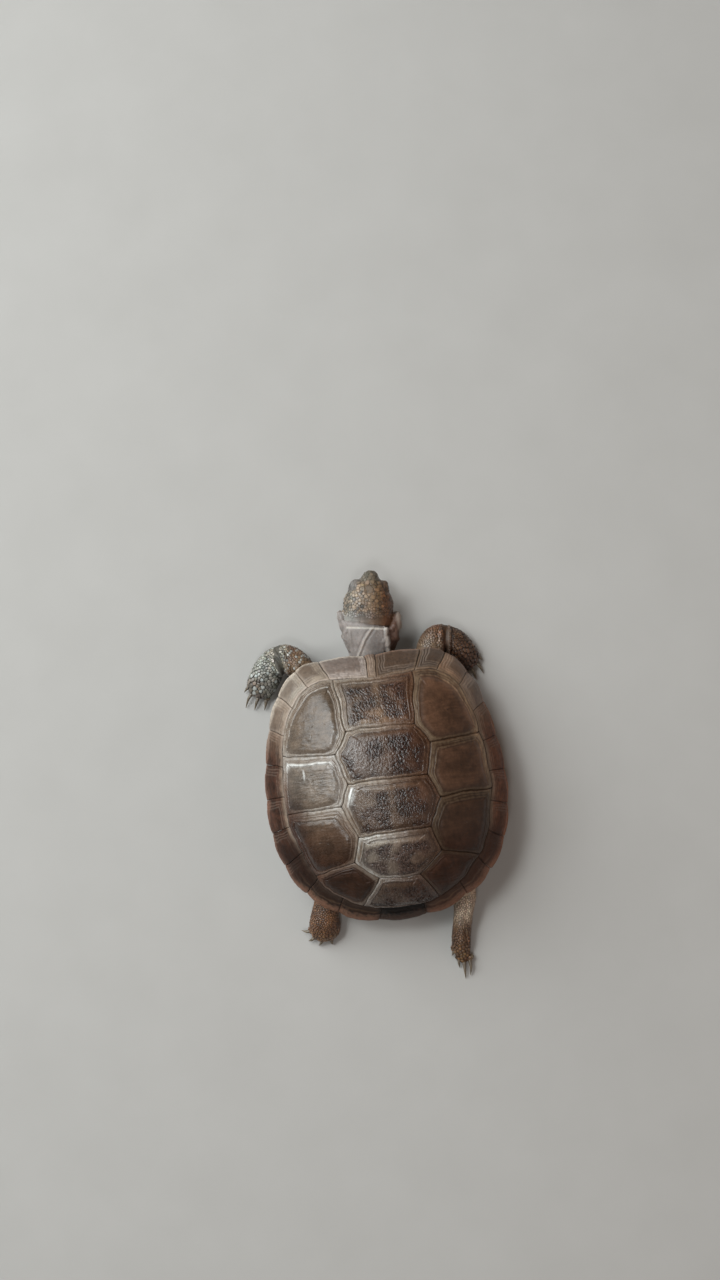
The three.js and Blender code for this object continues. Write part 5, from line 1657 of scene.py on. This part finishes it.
def add_scales():
    rng = np.random.default_rng(5)
    at, radius = scatter(skin_p, skin_t, scale_size(skin_p, skin_n, part, along), rng)
    surface = BVHTree.FromPolygons(skin_p.tolist(), skin_t.tolist())
    spots = []
    for a, l, _ in SHIELDS:
        start = head_point(a, l, 8.0)
        spots.append(surface.ray_cast(Vector(start), Vector(unit(head_point(a, l, 0.0) - start)))[0])
    spots, sizes = np.array(spots), np.array([size for _, _, size in SHIELDS])
    gap = np.linalg.norm(at[:, None] - spots[None], axis=-1) - sizes[None]
    keep = (gap > 0.62 * radius[:, None]).all(1)
    at, radius = np.concatenate([at[keep], spots]), np.concatenate([radius[keep], sizes])
    at, normal = settle(at, radius, surface, 4)
    where, run, way = region_of(at)
    head = where == 0
    way[head] = head_point(1.0, 0.0, 0.0) - head_point(0.0, 0.0, 0.0)
    uv = unwrap(at, where, run)
    fore = (where == PARTS.index("fore_l")) | (where == PARTS.index("fore_r"))
    height = np.where(head, 0.06, np.where(fore, 0.5, 0.42) * radius)
    height = height * (1 + 0.2 * rng.normal(size=len(at)).clip(-1.5, 1.5))
    height = np.where(head & (head_local(at)[2] < -1.8), 0.045, height)
    lean = np.where(head, 0.0, np.where(fore, 0.38, 0.22)) + 0.05 * rng.normal(size=len(at))
    value = 1 + np.where(head, 0.2, 0.27) * rng.normal(size=len(at)).clip(-1.8, 1.8)
    tint = flesh_tint(at, where, run) * value[:, None] * (1 + 0.03 * rng.normal(size=(len(at), 3)))
    glint = (where == PARTS.index("fore_l")) & (rng.random(len(at)) < GLINT_SHARE)
    tint = paint(tint, (rgb(196, 204, 202), 0.5 * glint))
    for key in ("head", "tail", *LEGS):
        here = where == PARTS.index(key)
        sides = 8 if key in ("hind_l", "hind_r", "tail") else 10
        points, quads, tris, local, shade, per = scale_meshes(
            at[here], normal[here], radius[here], way[here], height[here], sides, lean[here],
            0.75 if key == "head" else 0.25)
        points[:, 2] = np.maximum(points[:, 2], 0.01)
        # the field again at each point, so that markings cross the scales as they cross the skin
        field = flesh_tint(points, np.repeat(where[here], per), np.repeat(run[here], per))
        colour = mix(np.repeat(tint[here], per, 0), field, 0.5 if key == "head" else 0.3)
        # painted shade and light on each scale
        colour = colour * np.tile(shade, here.sum())[:, None]
        o = piece_of("scales_" + key, points, (quads, tris), colour, SCALE_HORN, [])
        patch = np.repeat(uv[here], per, 0) + local.reshape(-1, 2) * MAP_PER_RADIUS
        layer = o.data.uv_layers.new(name="OFBake")
        loops = np.empty(len(o.data.loops), np.int32)
        o.data.loops.foreach_get("vertex_index", loops)
        layer.data.foreach_set("uv", patch[loops].astype(np.float32).ravel())


# ---- skin, eyes and claws ----
put_points(skin_mesh, skin_p * MM)
set_tint(skin_mesh, skin_tint)
skin_mesh.materials.clear()
skin_mesh.materials.append(SKIN)
skin_mesh.polygons.foreach_set("use_smooth", np.ones(len(skin_mesh.polygons), bool))
skin_mesh.name = "skin"
take_part(add_object("skin", skin_mesh),
          ["trunk", "neck", "head", "lower_jaw", "tail", *("leg_" + key for key in LEGS)])
add_scales()


EYE_RINGS = 90
EYE_SIDES = 80


def add_eye(letter, side):
    """An eyeball with a slight bulge of the cornea, a dark pupil and a streaked brown iris."""
    centre, out, front = eye_frame(side)
    rise = np.cross(out, front)
    tilt = np.linspace(0.02, np.pi - 0.02, EYE_RINGS)[:, None]
    turn = 2 * np.pi * np.arange(EYE_SIDES)[None] / EYE_SIDES
    r = EYE * (1 + 0.035 * bell(tilt, 0.42))
    d = (np.cos(tilt)[..., None] * out + (np.sin(tilt) * np.cos(turn))[..., None] * front
         + (np.sin(tilt) * np.sin(turn))[..., None] * rise)
    q = centre + d * (r + 0 * turn)[..., None]
    points, quads, tris = rows_mesh(head_point(q[..., 0], q[..., 1], q[..., 2]))
    tilt = tilt + 0 * turn
    streak = noise(np.stack([np.cos(turn) * 6 + 0 * tilt, np.sin(turn) * 6 + 0 * tilt, tilt * 2], -1), 1, 111)
    tint = paint(
        blend(rgb(30, 21, 15), rgb(62, 44, 28), 0.5 + streak),
        (rgb(10, 8, 7), smooth(0.42, 0.36, tilt)),
        (rgb(14, 11, 9), smooth(0.62, 0.72, tilt)),
        (rgb(34, 27, 22), smooth(0.8, 1.0, tilt)),
    )
    tint = np.concatenate([tint.reshape(-1, 3), [rgb(10, 8, 7), rgb(34, 27, 22)]])
    piece_of("eyeball_" + letter, points, (quads, tris), tint, EYE_WET, ["eye_" + letter])


add_eye("l", 1)
add_eye("r", -1)

CLAW_SIDES = 20


def add_claws(name, claws):
    """The claws of one foot as one mesh, from base, middle and tip of each."""
    meshes, tint = [], []
    for k, claw in enumerate(claws):
        b, m, t = np.array(claw, float)
        path = [[*(b - (m - b) * 0.55), 0.5, 0.56], [*b, 0.47, 0.54], [*m, 0.34, 0.42], [*t, 0.07, 0.09]]
        rows3 = tube_rows(path, CLAW_SIDES, 36, 0, True)
        rows3[..., 2] = np.maximum(rows3[..., 2], 0.0)
        mesh = rows_mesh(rows3)
        run = np.concatenate([np.repeat(np.linspace(0, 1, len(rows3)), CLAW_SIDES), [0, 1]])
        streak = noise(mesh[0], 2.2, 120 + k)
        tint.append(paint(
            blend(rgb(66, 58, 50), rgb(112, 100, 84), 0.35 + run * 0.5 + streak * 0.5),
            (rgb(142, 128, 104), 0.5 * smooth(0.75, 1, run)),
            (rgb(58, 52, 46), 0.6 * smooth(0.35, 0.2, run)),
        ))
        meshes.append(mesh)
    points, quads, tris = joined(meshes)
    tint = np.concatenate(tint)
    piece_of("talons_" + name, points, (quads, tris), tint, CLAW_HORN, ["claws_" + name])


for key, leg in LEGS.items():
    add_claws(key, leg["claws"])


# ---- stage, light and camera ----
LENS = 45.0
SENSOR = 36
PX_PER_MM = 4.24
DISTANCE = 1280 / SENSOR * LENS / PX_PER_MM * 1.004
LEAN_LEFT = 1.57
LEAN_BACK = 5.0
ROLL = 7.53
FLOOR_HALF = 1.6
LIT = (0, 0, 0.01)
# name, place, width and height in metres, power in watts, colour
LIGHTS = [
    ("window", (0.42, -0.32, 0.44), 0.66, 0.72, 6.6, (0.92, 0.98, 1.0)),
    ("pane", (0.28, -0.2, 0.6), 0.13, 0.13, 1.2, (0.92, 0.98, 1.0)),
    ("sky", (0.1, 0.22, 0.72), 0.14, 0.14, 0.95, (0.94, 0.98, 1.0)),
    ("palm", (-0.5, 0.2, 0.3), 0.6, 0.6, 0.55, (1.0, 0.72, 0.6)),
]


def build_stage():
    floor_mesh = bpy.data.meshes.new("floor")
    corners = [(x * FLOOR_HALF, y * FLOOR_HALF, 0) for x, y in ((-1, -1), (1, -1), (1, 1), (-1, 1))]
    floor_mesh.from_pydata(corners, [], [(0, 1, 2, 3)])
    floor = add_object("floor", floor_mesh)
    m, tree, shader = new_material("floor_paper")
    coord = add_node(tree, "TexCoord").outputs["Object"]
    ramp = add_node(tree, "ValToRGB", {"Fac": noise_of(tree, coord, 60, 3)})
    ramp.color_ramp.elements[0].color = (0.40, 0.385, 0.365, 1)
    ramp.color_ramp.elements[1].color = (0.44, 0.425, 0.405, 1)
    tree.links.new(ramp.outputs["Color"], shader.inputs["Base Color"])
    shader.inputs["Roughness"].default_value = 0.9
    shader.inputs["Specular IOR Level"].default_value = 0.08
    floor_mesh.materials.append(m)
    for name, at, width, height, power, colour in LIGHTS:
        light = bpy.data.lights.new(name, "AREA")
        light.shape = "RECTANGLE"
        light.size, light.size_y = width, height
        light.energy = power
        light.color = colour
        o = add_object(name, light)
        o.location = at
        o.rotation_euler = (Vector(LIT) - Vector(at)).to_track_quat("-Z", "Y").to_euler()
    world = bpy.data.worlds.new("studio")
    world.use_nodes = True
    background = world.node_tree.nodes["Background"]
    background.inputs["Color"].default_value = (0.66, 0.52, 0.41, 1)
    background.inputs["Strength"].default_value = 0.13
    bpy.context.scene.world = world


def build_camera():
    target = Vector(place(1.59, 35.03, 10.0) * MM)
    away = Vector((math.tan(math.radians(LEAN_LEFT)), math.tan(math.radians(LEAN_BACK)), 1)).normalized()
    camera = bpy.data.cameras.new("camera")
    camera.lens = LENS
    camera.sensor_width = SENSOR
    camera.sensor_fit = "AUTO"
    camera.clip_start = 0.01
    roll = math.radians(ROLL)
    x_axis = Vector((-math.sin(roll), -math.cos(roll), 0)).cross(away).normalized()
    rotation = Matrix((x_axis, away.cross(x_axis), away)).transposed().to_4x4()
    o = add_object("camera", camera)
    o.matrix_world = Matrix.Translation(target + away * DISTANCE * MM) @ rotation
    bpy.context.scene.camera = o


build_stage()
build_camera()
bpy.context.scene.view_settings.view_transform = "Standard"
